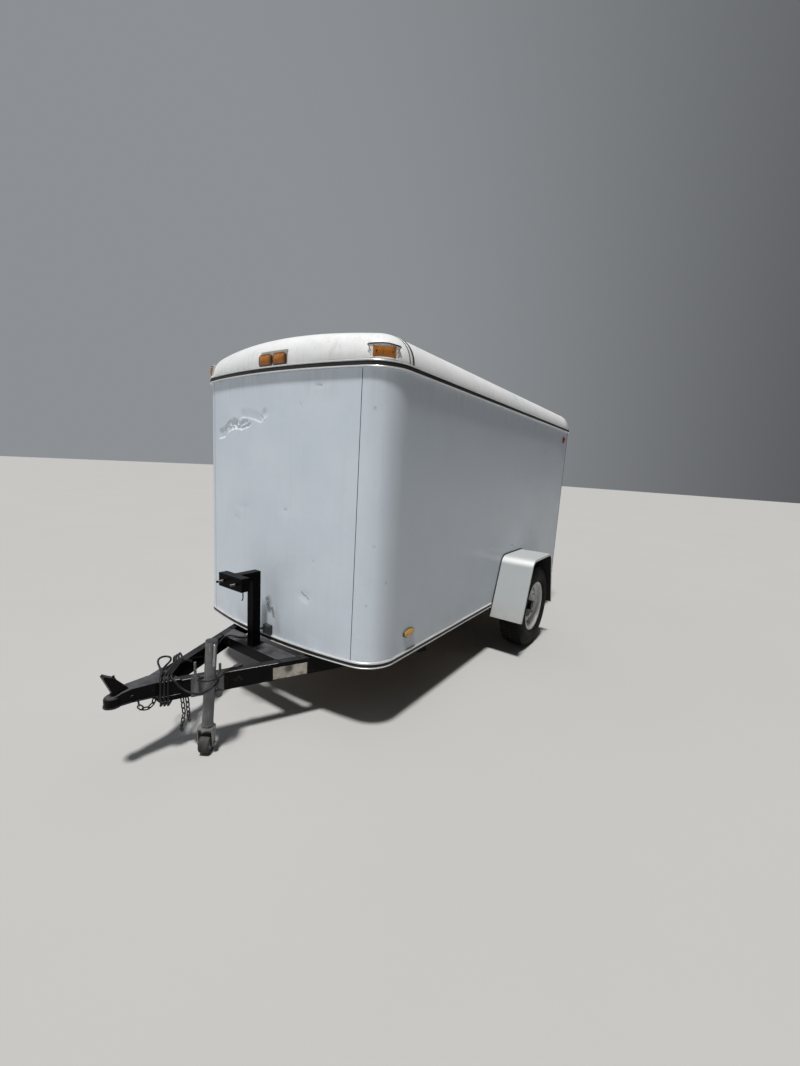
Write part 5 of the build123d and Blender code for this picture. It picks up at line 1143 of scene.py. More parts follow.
def rounded(w, h, r, n=5):
    pts = []
    for cx, cy, a0 in ((w / 2 - r, h / 2 - r, 0), (-w / 2 + r, h / 2 - r, 90), (-w / 2 + r, -h / 2 + r, 180), (w / 2 - r, -h / 2 + r, 270)):
        for i in range(n + 1):
            a = math.radians(a0 + 90 * i / n)
            pts.append((cx + r * math.cos(a), cy + r * math.sin(a)))
    return pts


def lamp(B, o, right_v, up_v, out_v, w, h, depth, r=0.006, dome=0.004, mat=0):
    """Moulded lens: straight base, shoulder and a gently domed face."""
    o, rv, uv, ov = Vector(o), Vector(right_v), Vector(up_v), Vector(out_v)
    rings = []
    for k, (inset, dd) in enumerate(((0.0, -0.02), (0.0, depth * 0.55), (0.0012, depth * 0.66), (0.0045, depth * 0.80),
                                     (0.011, depth * 0.92), (0.020, depth + dome * 0.5))):
        w2, h2 = max(w - 2 * inset, 0.004), max(h - 2 * inset, 0.004)
        rr = max(min(r, w2 / 2 - 0.001, h2 / 2 - 0.001), 0.001)
        rings.append([o + rv * a + uv * b + ov * dd for a, b in rounded(w2, h2, rr)])
    B.loft(rings, mat=mat)


def screw(B, o, ov, r=0.0042, mat=1):
    B.lathe([(r, -0.002), (r, 0.0010), (r * 0.72, 0.0021), (r * 0.30, 0.0024), (r * 0.28, 0.0012), (0.0, 0.0012)], o, ov, 14, mat)


B = Build()
# centre pair on the cap
for x, w in ((PAIR_X - 0.0585, 0.1100), (PAIR_X + 0.0555, 0.1060)):
    px, py, nx, ny = bow_point(x)
    ov = Vector((nx, ny, 0))
    rv = Vector((-ny, nx, 0)) * (-1 if nx * 0 + 1 > 0 else 1)
    rv = Vector((0, 0, 1)).cross(ov)
    o = Vector((px, py, LAMP_Z - 0.006)) - ov * 0.001
    lamp(B, o, rv, (0, 0, 1), ov, w, 0.0650, 0.0150, 0.0215, 0.0100)
    for q in (-0.032, 0.032):
        screw(B, o + rv * q + ov * 0.0150, ov, 0.0036)
# corner pair
for s in (1, -1):
    a = math.radians(-47)
    ov = Vector((s * math.cos(a), math.sin(a), 0))
    rv = Vector((0, 0, 1)).cross(ov)
    o = Vector((s * COR_X, COR_Y, LAMP_Z - 0.001)) + ov * (COR_R - 0.008)
    lamp(B, o, rv, (0, 0, 1), ov, 0.110, 0.055, 0.0150, 0.007, 0.002)
    for q in (-0.039, 0.039):
        screw(B, o + rv * q + ov * 0.0152, ov, 0.0048)
B.out("amber_front_lenses", [mat_amber_front, mat_dark_plastic], "chassis", slot="lens_amber", replaces=["amber_lamps"])

# oval side markers with a dark rim
B = Build()
for s in (1, -1):
    o = Vector((s * 0.762, Y(382), 0.512))
    ov = Vector((s, 0, 0))
    for prof, mt in (([(1.0, -0.001), (1.0, 0.006), (0.955, 0.0085), (0.90, 0.0085), (0.88, 0.006)], 1),
                     ([(0.90, 0.004), (0.88, 0.0115), (0.70, 0.0150), (0.40, 0.0172), (0.0, 0.0178)], 0)):
        seg = 40
        n = len(prof)
        vs, fs = [], []
        for i in range(seg):
            t = 2 * math.pi * i / seg
            for r, d in prof:
                vs.append(o + Vector((0, 0.0545 * r * math.cos(t), 0.0262 * r * math.sin(t))) + ov * d)
        for i in range(seg):
            j = (i + 1) % seg
            for k in range(n - 1):
                fs.append((i * n + k, j * n + k, j * n + k + 1, i * n + k + 1))
        B.add(vs, fs, mt)
    for q in (-0.034, 0.034):
        screw(B, o + Vector((0, q, 0)) + ov * 0.0142, ov, 0.0034, 1)
B.out("amber_side_lenses", [mat_amber_y, mat_dark_plastic], "chassis", slot="lens_amber")

# moulded seats of the lamps in the cap
B = Build()


def cap_seat(B, x_or_angle, half_top, half_bot, z0, z1, t, corner, mat, s=1):
    """Flat pad that follows the cap's plan, thin at its foot and proud at the top where the cap rolls back."""
    cols = 12
    rings = []
    for k in range(cols + 1):
        f = -1 + 2 * k / cols
        rows = []
        for z, half in ((z0, half_bot), (z1, half_top)):
            if corner:
                a = x_or_angle + f * half
                x, y, nx, ny = COR_X + COR_R * math.cos(a), COR_Y + COR_R * math.sin(a), math.cos(a), math.sin(a)
            else:
                x, y, nx, ny = bow_point(x_or_angle + f * half)
            rows += [(s * (x + nx * t), y + ny * t, z), (s * (x - nx * 0.03), y - ny * 0.03, z)]
        rings.append([rows[0], rows[2], rows[3], rows[1]])
    B.loft(rings, mat=mat)


# the centre seat is grey, painted shade of its recess; the corner seats are white
cap_seat(B, 0.041, 0.1030, 0.1060, 1.9270, 2.0060, 0.0022, False, 0)
for s in (1, -1):
    cap_seat(B, math.radians(-47), math.radians(26.0), math.radians(20.0), 1.9325, 2.0030, 0.0028, True, 1, s)
B.out("lamp_seats", [mat_pad_shade, mat_white_pad], "chassis", 0.0012, 2, slot="roof_white")
B = Build()
cap_seat(B, 0.041, 0.1040, 0.1080, 1.9272, 1.9300, 0.0060, False, 0)
for s in (1, -1):
    cap_seat(B, math.radians(-47), math.radians(20.5), math.radians(22.5), 1.9310, 1.9385, 0.0075, True, 0, s)
B.out("lamp_ledges", [mat_white_pad], "chassis", 0.0015, 2, slot="roof_white")
# painted shadow: a dark line over each corner seat and down its sides, where the cap overhangs it
B = Build()
for s in (1, -1):
    ring = []
    for k in range(15):
        f = -1 + 2 * k / 14
        a = math.radians(-47 + f * 26.5)
        zz = 2.0020 - 0.0090 * abs(f) ** 2.4
        for_out = 0.0036
        x, y = COR_X + (COR_R + for_out) * math.cos(a), COR_Y + (COR_R + for_out) * math.sin(a)
        ring.append(Vector((s * x, y, zz)))
    B.tube(ring, 0.0030, 8)
    for e, lean in ((-26.3, 1), (26.3, -1)):
        pts = []
        for k in range(7):
            f = k / 6
            a = math.radians(-47 + e + lean * 6.0 * f)
            pts.append(Vector((s * (COR_X + (COR_R + 0.0026) * math.cos(a)), COR_Y + (COR_R + 0.0026) * math.sin(a), 1.993 - 0.030 * f)))
        B.tube(pts, 0.0013, 6)
B.out("lamp_brow_shadows", [mat_caulk_and_shade], "chassis", slot="roof_white")

# red lamps: side markers, header lamps, tail lamps
B = Build()
for s in (1, -1):
    o = Vector((s * 0.762, Y(3130), 1.802))
    ov = (s, 0, 0)
    B.lathe([(0.0318, -0.001), (0.0318, 0.006), (0.0300, 0.0082), (0.0272, 0.0082)], o, ov, 36, 1)
    B.lathe([(0.0275, 0.004), (0.0270, 0.012), (0.0230, 0.0160), (0.0120, 0.0188), (0.0, 0.0196)], o, ov, 36, 0)
    o = Vector((s * 0.640, Y(3270), 0.408))
    lamp(B, o, (1, 0, 0), (0, 0, 1), (0, 1, 0), 0.149, 0.051, 0.0190, 0.010, 0.002, 0)
    B.box(o + Vector((0, 0.003, 0)), (0.1495, 0.006, 0.0515), None, 1)
    for q in (-0.055, 0.055):
        screw(B, o + Vector((q, 0.0192, 0)), (0, 1, 0), 0.0036, 1)
for x in (-0.130, 0.0, 0.130):
    lamp(B, (x, Y(3270), 1.990), (1, 0, 0), (0, 0, 1), (0, 1, 0), 0.0635, 0.0295, 0.0140, 0.006, 0.002, 0)
    for q in (-0.024, 0.024):
        screw(B, Vector((x + q, Y(3270) + 0.0130, 1.990)), (0, 1, 0), 0.0026, 1)
B.out("red_lenses", [mat_red_x, mat_dark_plastic], "chassis", slot="lens_red", replaces=["red_lamps"])

# ------------------------------------------------------------------ fenders: gasket, and dark sheets inside each fender and on the wall behind it, painted shade
FY, FOUT, FTOP, FBOT, FHB, FHT, FBEND = 1957.0, 1.025, 772.0, 300.0, 398.0, 240.0, 85.0


def fender_line(inset=0.0, n=8, drop=0.0):
    """Fender's side profile (station, z) in mm, front foot over the top to rear foot."""
    slope = (FHB - FHT) / (FTOP - FBOT)
    ln = math.hypot(1, slope)
    b0 = Vector((-FHB + inset * ln - slope * 0, FBOT - drop))
    t0 = Vector((-FHT + inset * (ln - slope), FTOP - inset))
    b0.x = t0.x - slope * (t0.y - b0.y)
    t1, b1 = Vector((-t0.x, t0.y)), Vector((-b0.x, b0.y))
    r = FBEND - inset
    out = [b0]
    for a, c, b in ((b0, t0, t1), (t0, t1, b1)):
        d0, d1 = (c - a).normalized(), (b - c).normalized()
        ang = d0.angle(d1)
        tl = r * math.tan(ang / 2)
        p0 = c - d0 * tl
        nrm = Vector((d0.y, -d0.x))
        cen = p0 + nrm * r
        for i in range(n + 1):
            th = -ang * i / n
            v = p0 - cen
            out.append(cen + Vector((v.x * math.cos(th) - v.y * math.sin(th), v.x * math.sin(th) + v.y * math.cos(th))))
    out.append(b1)
    return [(FY + p.x, p.y) for p in out]


B = Build()
for s in (1, -1):
    pts = [P(s * 764.0, a, z) for a, z in fender_line(-3.0, 8)]
    B.tube(pts, 0.0056, 10)
B.out("fender_gaskets", mat_rubber, "chassis", slot="rubber_black")

# painted shade: a dark sheet just inside each fender, where its inside lies in shade
B = Build()
for s in (1, -1):
    line = fender_line(3.6, 8)
    line2 = fender_line(5.0, 8)
    rings = []
    for (a, z), (a2, z2) in zip(line, line2):
        rings.append([P(s * 763.0, a, z), P(s * 1021.6, a, z), P(s * 1021.6, a2, z2), P(s * 763.0, a2, z2)])
    B.loft(rings)
B.out("fender_shade_sheets", mat_fender_shade, "chassis", slot="rubber_black")

# wheel box closing the inside of the wall behind each fender: a dark sheet on the wall, painted shade
B = Build()
for s in (1, -1):
    line = fender_line(5.5, 8)
    poly = [((a - Y0) / 1000, z / 1000) for a, z in line]
    B.prism(poly, (s * 0.7622, 0, 0), (0, 1, 0), (0, 0, 1), (s * 0.0012, 0, 0))
B.out("wheel_well_shade_sheets", mat_fender_shade, "chassis", slot="rubber_black")

# ------------------------------------------------------------------ wheels
WY, WZ, WX = Y(1960), 0.344, 0.903


def tyre(side, body, name, replaced):
    B = Build()
    TR, hw = 0.344, 0.1025
    o = Vector((side * WX, WY, WZ))
    ax = Vector((side, 0, 0))
    # carcass: bead, sidewall with ribs, shoulder; closed section
    outer = [(0.1915, 0.0785), (0.2080, 0.0790), (0.2120, 0.0850), (0.2170, 0.0895), (0.2240, 0.0930), (0.2255, 0.0930), (0.2262, 0.0942),
             (0.2290, 0.0955), (0.2298, 0.0950), (0.2400, 0.0998), (0.2560, 0.1022), (0.2610, 0.1024), (0.2618, 0.1012), (0.2700, 0.1010),
             (0.2850, 0.0992), (0.2980, 0.0962), (0.3080, 0.0925), (0.3150, 0.0890), (0.3220, 0.0865), (0.3290, 0.0835), (0.3330, 0.0790),
             (0.3355, 0.0720)]
    crown = [(0.3360, 0.0600), (0.3362, 0.0), (0.3360, -0.0600)]
    inner = [(0.308, -0.078), (0.3290, -0.05), (0.3290, 0.05), (0.308, 0.078), (0.256, 0.0925), (0.2125, 0.068), (0.1915, 0.063)]
    prof = outer + crown + [(r, -v) for r, v in reversed(outer)]
    inn = [(0.1915, -0.063), (0.2125, -0.068), (0.256, -0.0925)] + inner[:4] + inner[4:]
    B.lathe(prof + inn, o, ax, 96, 0, closed=True)
    # tread blocks: five ribs cut by staggered sipes
    seg = 60
    for v0, v1, shift, skew in ((-0.079, -0.052, 0.0, 0.18), (-0.046, -0.019, 0.5, 0.10), (-0.013, 0.013, 0.0, 0.0),
                                (0.019, 0.046, 0.5, -0.10), (0.052, 0.079, 0.0, -0.18)):
        for i in range(seg):
            t0 = 2 * math.pi * (i + shift + 0.07) / seg
            t1 = 2 * math.pi * (i + shift + 0.93) / seg
            vs = []
            for rr in (0.3345, 0.3438 - (0.0045 if abs(v0 + v1) > 0.12 else 0.0)):
                for v, k in ((v0, -1), (v1, 1)):
                    for t in (t0, t1):
                        tt = t + skew * 0.06 * k
                        drop = 0.0022 * abs(v) / 0.079
                        vs.append(o + ax * v + Vector((0, math.cos(tt), math.sin(tt))) * (rr - drop))
            B.add(vs, [(0, 1, 3, 2), (4, 6, 7, 5), (0, 4, 5, 1), (2, 3, 7, 6), (0, 2, 6, 4), (1, 5, 7, 3)])
    # shoulder lugs on the upper sidewall
    for sd in (1, -1):
        for i in range(seg):
            t0 = 2 * math.pi * (i + 0.10) / seg
            t1 = 2 * math.pi * (i + 0.62) / seg
            vs = []
            for rr, v in ((0.3130, 0.0900), (0.3375, 0.0770)):
                for dv in (-0.003, 0.0016):
                    for t in (t0, t1):
                        vs.append(o + ax * (sd * (v + dv)) + Vector((0, math.cos(t), math.sin(t))) * rr)
            B.add(vs, [(0, 1, 3, 2), (4, 6, 7, 5), (0, 4, 5, 1), (2, 3, 7, 6), (0, 2, 6, 4), (1, 5, 7, 3)])
    return B.out(name, mat_tyre, body, slot="tyre_rubber", replaces=[replaced], angle=28)


tyre(1, "wheel_left", "tyre_street", "tyre_left")
tyre(-1, "wheel_right", "tyre_kerb", "tyre_right")

for s, body, side in ((1, "wheel_left", "street"), (-1, "wheel_right", "kerb")):
    B = Build()
    # tyre valve and wheel weights on the lip
    a = math.radians(200)
    d = Vector((0, math.cos(a), math.sin(a)))
    o = Vector((s * (WX + 0.058), WY, WZ)) + d * 0.168
    B.cyl(o, o + Vector((s * 0.030, 0, 0)) - d * 0.006, 0.0042, 12, mat=0)
    B.cyl(o + Vector((s * 0.030, 0, 0)) - d * 0.006, o + Vector((s * 0.040, 0, 0)) - d * 0.008, 0.0052, 12, mat=1)
    for a0 in (35, 250):
        for k in range(3):
            a = math.radians(a0 + k * 4)
            d = Vector((0, math.cos(a), math.sin(a)))
            B.box(Vector((s * (WX + 0.0855), WY, WZ)) + d * 0.199, (0.005, 0.012, 0.012),
                  Matrix.Rotation(a, 3, "X"), 1)
    B.out("valve_" + side, [mat_rubber, mat_zinc], body, 0.001, 2, slot="rubber_black")

# ------------------------------------------------------------------ CAD nodes that stay: better materials
LOOKS = {
    "side_wall_left": mat_side, "side_wall_right": mat_side, "front_panel": mat_front,
    "roof_front_cap": mat_roof, "roof_cove_left": mat_roof, "roof_cove_right": mat_roof, "roof_panel": mat_roof,
    "rear_frame": mat_plain_skin, "roof_trim": mat_alu, "bottom_trim": mat_alu,
    "fender_left": mat_fender, "fender_right": mat_fender,
    "tongue_rail_left": mat_black, "tongue_rail_right": mat_black, "tongue_crossmember": mat_cross,
    "coupler": mat_saddle, "coupler_latch": mat_black, "spare_bracket": mat_post,
    "frame_rails": mat_under, "frame_crossmembers": mat_under, "axle": mat_under, "leaf_springs": mat_under,
    "spring_hangers": mat_under, "floor_panel": mat_floor_ply,
    "rim_left": mat_rim, "rim_right": mat_rim, "hub_left": mat_black, "hub_right": mat_black,
    "tyre_left": mat_tyre, "tyre_right": mat_tyre,
    "rear_door_left": mat_rear_door, "rear_door_right": mat_rear_door,
    "lock_bar_left": mat_zinc, "lock_bar_right": mat_zinc, "rear_hinges": mat_zinc, "side_hinges": mat_zinc,
    "side_door": mat_side_door, "side_door_latch": mat_steel, "plate_bracket": mat_under,
    "jack_tube": mat_jack, "jack_leg": mat_fork, "jack_mount": mat_jack, "jack_crank": mat_zinc,
    "junction_box": mat_box, "amber_lamps": mat_amber, "red_lamps": mat_red, "trailer_cable": mat_cable,
    "cable_plug": mat_dark_plastic, "safety_chains": mat_chain, "jack_wheel": mat_wheel,
}
for name, ob in NODES.items():
    mt = LOOKS[name]
    if not ob.material_slots:
        ob.data.materials.append(mt)
    for sl in ob.material_slots:
        sl.material = mt


# ------------------------------------------------------------------ chains
def link(B, c, t, w, length, width, wire, mat=0, seg=7):
    """One oval link: t along the chain, w across it."""
    t, w = Vector(t).normalized(), Vector(w).normalized()
    w = (w - t * w.dot(t)).normalized()
    pts = []
    hl, hw = length / 2 - width / 2, width / 2 - wire / 2
    for i in range(8):
        a = math.pi * i / 7
        pts.append(c + t * (hl + hw * math.sin(a)) + w * (hw * math.cos(a)))
    for i in range(8):
        a = math.pi + math.pi * i / 7
        pts.append(c + t * (-hl + hw * math.sin(a)) + w * (hw * math.cos(a)))
    B.tube(pts, wire / 2, seg, True, mat)


def chain(B, pts, pitch=0.0255, wire=0.0065, mat=0, twist=0.5):
    pts = [Vector(p) for p in pts]
    cum = [0.0]
    for a, b in zip(pts, pts[1:]):
        cum.append(cum[-1] + (b - a).length)
    n = max(2, int(round(cum[-1] / pitch)))
    ref = None
    for i in range(n):
        s = (i + 0.5) * cum[-1] / n
        k = max(j for j in range(len(cum) - 1) if cum[j] <= s)
        f = (s - cum[k]) / (cum[k + 1] - cum[k])
        c = pts[k].lerp(pts[k + 1], f)
        t = (pts[k + 1] - pts[k]).normalized()
        if ref is None:
            ref = Vector((1, 0.3, 0)) if abs(t.x) < 0.8 else Vector((0, 1, 0.2))
        w = (ref - t * ref.dot(t)).normalized()
        ref = w
        w2 = w if i % 2 == 0 else t.cross(w)
        link(B, c, t, w2, pitch + 2 * wire - 0.002, 0.0230, wire, mat)


def spline(pts, n=10):
    """Smooth path through points."""
    pts = [Vector(p) for p in pts]
    out = []
    for i in range(len(pts) - 1):
        p0, p1, p2, p3 = pts[max(i - 1, 0)], pts[i], pts[i + 1], pts[min(i + 2, len(pts) - 1)]
        for k in range(n):
            t = k / n
            out.append(0.5 * ((2 * p1) + (p2 - p0) * t + (2 * p0 - 5 * p1 + 4 * p2 - p3) * t * t
                              + (3 * p1 - p0 - 3 * p2 + p3) * t ** 3))
    out.append(pts[-1])
    return out


B = Build()
# two strands from under the left rail's front end, each with its hook off the ground
HANG_A = [(58, -541, 252), (66, -541, 215), (73, -541, 178), (62, -541, 130), (48, -541, 94)]
HANG_B = [(84, -530, 256), (90, -530, 215), (94, -530, 182), (97, -530, 160)]
LOOP = [(31, -655, 290), (32, -668, 262), (27, -694, 250), (20, -716, 264), (15, -722, 298)]
chain(B, spline([P(*q) for q in HANG_A], 6))
chain(B, spline([P(*q) for q in HANG_B], 6))


def slip_hook(B, x, stn, top):
    """Eye, shank, open bow and pointed tip, in the plane across the trailer."""
    B.tube([P(x + 7.5 * math.cos(t), stn, top - 5 + 7.5 * math.sin(t)) for t in [2 * math.pi * k / 14 for k in range(14)]],
           0.0042, 8, True)
    path = spline([P(x, stn, top - 12), P(x - 6, stn, top - 17), P(x - 9, stn, top - 23), P(x - 5, stn, top - 29),
                   P(x + 3, stn, top - 30.5), P(x + 10, stn, top - 27), P(x + 13, stn, top - 20), P(x + 12, stn, top - 13)], 5)
    B.tube(path, 0.0044, 8)


slip_hook(B, 48, -541, 98)
slip_hook(B, 97, -530, 166)
# loop of a few links under the coupler
chain(B, spline([P(*q) for q in LOOP], 8))
B.out("chain_links", mat_chain, "chassis", slot="steel_bare", replaces=["safety_chains"])

# ------------------------------------------------------------------ tongue details
# blank patch on the left rail's outer face
def rail_face(station, out, z):
    return P(rail_x(station) + out * OUTX, station + out * OUTY, z)


B = Build()
fwd = Vector((DIRX, DIRY, 0))
outv = Vector((OUTX, OUTY, 0))
n = 14
ring_o = []
for i in range(n + 1):
    stn = -164 + (4 + 164) * i / n
    jag = 0.0 if i not in (0, n) else 0.0
    top = 0.335 + 0.003 * noise.noise(Vector((i * 0.9, 1.2, 0)))
    bot = 0.269 + 0.003 * noise.noise(Vector((i * 0.9, 5.2, 0)))
    a, b = rail_face(stn, 0.9, bot * 1000), rail_face(stn, 0.9, top * 1000)
    ring_o.append([a, b, b - outv * 0.0012, a - outv * 0.0012])
B.loft(ring_o)
B.out("blank_label", mat_label, "chassis", slot="frame_black")

# weld beads: post foot, crossmember ends, coupler to rails
B = Build()


def bead(B, a, b, r=0.0032, n=None):
    a, b = Vector(a), Vector(b)
    L = (b - a).length
    n = n or max(4, int(L / 0.0055))
    pts = []
    for i in range(n + 1):
        f = i / n
        pts.append(a.lerp(b, f) + Vector((0, 0, 0.0006 * (i % 2))))
    B.tube(pts, r, 7)


ph = 25.4
for (x0, s0), (x1, s1) in (((-ph, -85 - ph), (ph, -85 - ph)), ((ph, -85 - ph), (ph, -85 + ph)), ((ph, -85 + ph), (-ph, -85 + ph)),
                           ((-ph, -85 + ph), (-ph, -85 - ph))):
    bead(B, P(x0, s0, 359.5), P(x1, s1, 359.5), 0.0042)
for s in (1, -1):
    for stn in (-120, -20):
        p0 = Vector((s * (rail_x(stn) - 49) / 1000, Y(stn), 0.3592))
        bead(B, p0 - Vector((s * 0.004, 0, 0)), p0 + Vector((s * 0.040, 0, 0)), 0.003)
    bead(B, P(s * (rail_x(-560) - 48), -558.6, 360.8), P(s * (rail_x(-560) + 2), -558.6, 360.8), 0.0030)
    bead(B, P(s * (rail_x(-560) + 2.2), -558.8, 358), P(s * (rail_x(-560) + 2.2), -558.8, 294), 0.0026)
B.out("weld_beads", mat_black, "chassis", slot="frame_black")

# painted highlight: thin bright strips along the top and bottom edges stand in for light glinting on them
B = Build()
B.tube([rail_face(s, -0.1, 359.0) for s in (-556, -500, -440, -380, -320, -260, -200, -140)], 0.0010, 6)
B.tube([rail_face(s, 3.4, 366.9) for s in (-640, -610, -585, -563)], 0.0010, 6)
B.tube([rail_face(s, 3.4, 292.2) for s in (-640, -610, -585, -563)], 0.0009, 6)
B.out("edge_glint_strips", mat_edge_glint, "chassis", slot="frame_black")

# small bent pin hanging under the spare bracket's bar
B = Build()
B.tube(spline([P(92, -222, 734), P(92, -222, 715), P(92.5, -222.5, 696), P(92.5, -225, 686), P(92.5, -230, 683)], 6), 0.0030, 8)
B.out("bracket_pin", mat_post, "chassis", slot="frame_black")

# hex nuts and thread on the spare studs
B = Build()
for x in (-54.35, 54.35):
    for i in range(12):
        B.lathe([(0.00640, 0), (0.0068, 0.0008), (0.00640, 0.0016)], P(x, -246 - i * 2.6, 765), (0, -1, 0), 18)
B.out("stud_threads", mat_steel, "chassis", slot="frame_black")

# junction box: lid and screws
B = Build()
B.box(P(32, -25.6, 445), (0.047, 0.0026, 0.045))
for dx in (-18.5, 18.5):
    for dz in (-17.5, 17.5):
        if (dx, dz) != (99, 99):
            screw(B, P(32 + dx, -26.8, 445 + dz), (0, -1, 0), 0.0030, 0)
B.out("junction_lid", [mat_box], "chassis", 0.001, 2, slot="plastic_black")

# ------------------------------------------------------------------ jack details
B = Build()
jd = Vector((LEAN * DIRX, LEAN * DIRY, 1)).normalized()


def jp(z):
    x, s = jack_axis(z)
    return P(x, s, z)


# flat cap with a rolled lip on the tube's head
B.lathe([(0.0272, -0.0010), (0.0274, 0.0006), (0.0268, 0.0020), (0.0252, 0.0028), (0.0120, 0.0031), (0.0, 0.0032)], jp(569.5), jd, 40, 0)
B.lathe([(0.0262, 0.0), (0.0276, 0.0002), (0.0281, 0.0016), (0.0276, 0.0030), (0.0262, 0.0032)], jp(545.6), jd, 40, 1, closed=True)
B.lathe([(0.0262, 0.0), (0.0278, 0.0004), (0.0284, 0.0030), (0.0278, 0.0056), (0.0262, 0.0060)], jp(142.6), jd, 40, 1, closed=True)
B.out("jack_cap", [mat_dark_plastic, mat_jack], "chassis", slot="steel_bare")

# caster: swivel race under the leg, hub discs in the wheel, split pin at the axle's end
CA = Vector((0.8229, 0.5682, 0)).normalized()
CC = Vector((0.198849, -1.72657, 0.046))
B = Build()
B.lathe([(0.0215, 0.0), (0.0262, 0.0004), (0.0275, 0.0022), (0.0262, 0.0042), (0.0215, 0.0048)], jp(134.6), (0, 0, 1), 36, 0, closed=True)
for v in (1, -1):
    B.lathe([(0.0030, 0.0), (0.0058, 0.0004), (0.0062, 0.0020), (0.0040, 0.0032), (0.0, 0.0034)], CC + CA * (v * 0.0448), CA * v, 18, 0)
    B.tube([CC + CA * (v * 0.0452) + Vector((0, 0, h)) for h in (-0.0085, -0.004, 0.004, 0.0085)], 0.0011, 8, mat=0)
B.out("caster_fittings", [mat_zinc], "jack_leg", slot="steel_bare")
B = Build()
for v in (1, -1):
    o = CC + CA * (v * 0.0212)
    B.lathe([(0.0145, -0.001), (0.0145, 0.0022), (0.0175, 0.0030), (0.0235, 0.0022), (0.0285, 0.0008), (0.0296, -0.001)], o, CA * v, 36, 0)
    for k in range(6):
        t = math.pi / 3 * k
        d = Vector((0, 0, 1)) * math.cos(t) + CA.cross(Vector((0, 0, 1))) * math.sin(t)
        B.cyl(o + d * 0.0215 + CA * (v * 0.0020), o + d * 0.0215 + CA * (v * 0.0034), 0.0026, 10, mat=0)
B.out("caster_hub", [mat_rim_grey], "jack_wheel", slot="rubber_black")

# ------------------------------------------------------------------ doors: seals, skins' edges, fittings
B = Build()
DO, DB, DT = 0.7095, 0.4455, 1.8845
for s, body, nm in ((1, "rear_door_left", "left"), (-1, "rear_door_right", "right")):
    B = Build()
    y = Y(3270) + 0.0004
    # aluminium edge trim round the door's face
    for (x0, z0, x1, z1) in ((0.0035, DB, DO, DB + 0.022), (0.0035, DT - 0.022, DO, DT), (0.0035, DB, 0.0255, DT), (DO - 0.022, DB, DO, DT)):
        B.box((s * (x0 + x1) / 2, y + 0.0006, (z0 + z1) / 2), (abs(x1 - x0), 0.0022, z1 - z0))
    B.out("rear_door_trim_" + nm, mat_alu, body, 0.0006, 1, slot="trim_aluminium")
    B = Build()
    yi = Y(3270) - 0.0380
    for (x0, z0, x1, z1) in ((0.016, DB + 0.004, DO - 0.004, DB + 0.014), (0.016, DT - 0.014, DO - 0.004, DT - 0.004),
                             (0.016, DB + 0.004, 0.026, DT - 0.004), (DO - 0.014, DB + 0.004, DO - 0.004, DT - 0.004)):
        B.box((s * (x0 + x1) / 2, yi - 0.0018, (z0 + z1) / 2), (abs(x1 - x0), 0.0036, z1 - z0))
    B.out("rear_door_seal_" + nm, mat_rubber, body, 0.0012, 2, slot="rubber_black")
    # bolts on the hinge straps and the bar's guides
    B = Build()
    for z in (0.620, 1.165, 1.710):
        for x in (0.535, 0.585, 0.635, 0.685):
            B.lathe([(0.0062, -0.001), (0.0062, 0.0012), (0.0050, 0.0034), (0.0022, 0.0046), (0.0, 0.0048)],
                    (s * x, Y(3270) + 0.0080, z), (0, 1, 0), 14)
    for z in (DB + 0.090, 1.000, 1.330, DT - 0.090):
        for dx in (-0.0165, 0.0165):
            B.lathe([(0.0042, -0.001), (0.0042, 0.001), (0.003, 0.0024), (0.0, 0.003)],
                    (s * (0.130 + dx), Y(3270) + 0.0320 + 0.0, z), (0, 1, 0), 12)
    B.out("rear_door_bolts_" + nm, mat_zinc, body, slot="steel_bare")

# rear frame: seal in the rabbet and a dark line along each rear edge
B = Build()
for s in (1, -1):
    B.box((s * 0.7075, Y(3270) - 0.0405, 1.165), (0.010, 0.0040, 1.42))
for z in (0.4480, 1.8820):
    B.box((0, Y(3270) - 0.0405, z), (1.40, 0.0040, 0.010))
B.out("rear_opening_seal", mat_rubber, "chassis", 0.0014, 2, slot="rubber_black")
B = Build()
for s in (1, -1):
    B.box((s * 0.7630, Y(3268.3), 1.150), (0.0022, 0.0034, 1.476))
B.out("rear_edge_line", mat_caulk_and_shade, "chassis", 0.0004, 1, slot="rubber_black")

# side door: edge trim, seal, latch details
B = Build()
s0, s1, z0, z1 = 480 + 5.5 + 0.0, 1260 - 7.0, 445.5, 1844.5
for a0, b0, a1, b1 in ((s0, z0, s1, z0 + 24), (s0, z1 - 24, s1, z1), (s0, z0, s0 + 24, z1), (s1 - 24, z0, s1, z1)):
    B.box((-0.7628, Y((a0 + a1) / 2), (b0 + b1) / 2000), (0.0020, (a1 - a0) / 1000, (b1 - b0) / 1000))
B.out("side_door_trim", mat_alu, "side_door", 0.0006, 1, slot="trim_aluminium")
B = Build()
for a0, b0, a1, b1 in ((s0 + 6, z0 + 4, s1 - 6, z0 + 13), (s0 + 6, z1 - 13, s1 - 6, z1 - 4), (s0 + 6, z0 + 4, s0 + 15, z1 - 4),
                       (s1 - 15, z0 + 4, s1 - 6, z1 - 4)):
    B.box((-0.7380 + 0.0014, Y((a0 + a1) / 2), (b0 + b1) / 2000), (0.0028, (a1 - a0) / 1000, (b1 - b0) / 1000))
B.out("side_door_seal", mat_rubber, "side_door", 0.001, 2, slot="rubber_black")
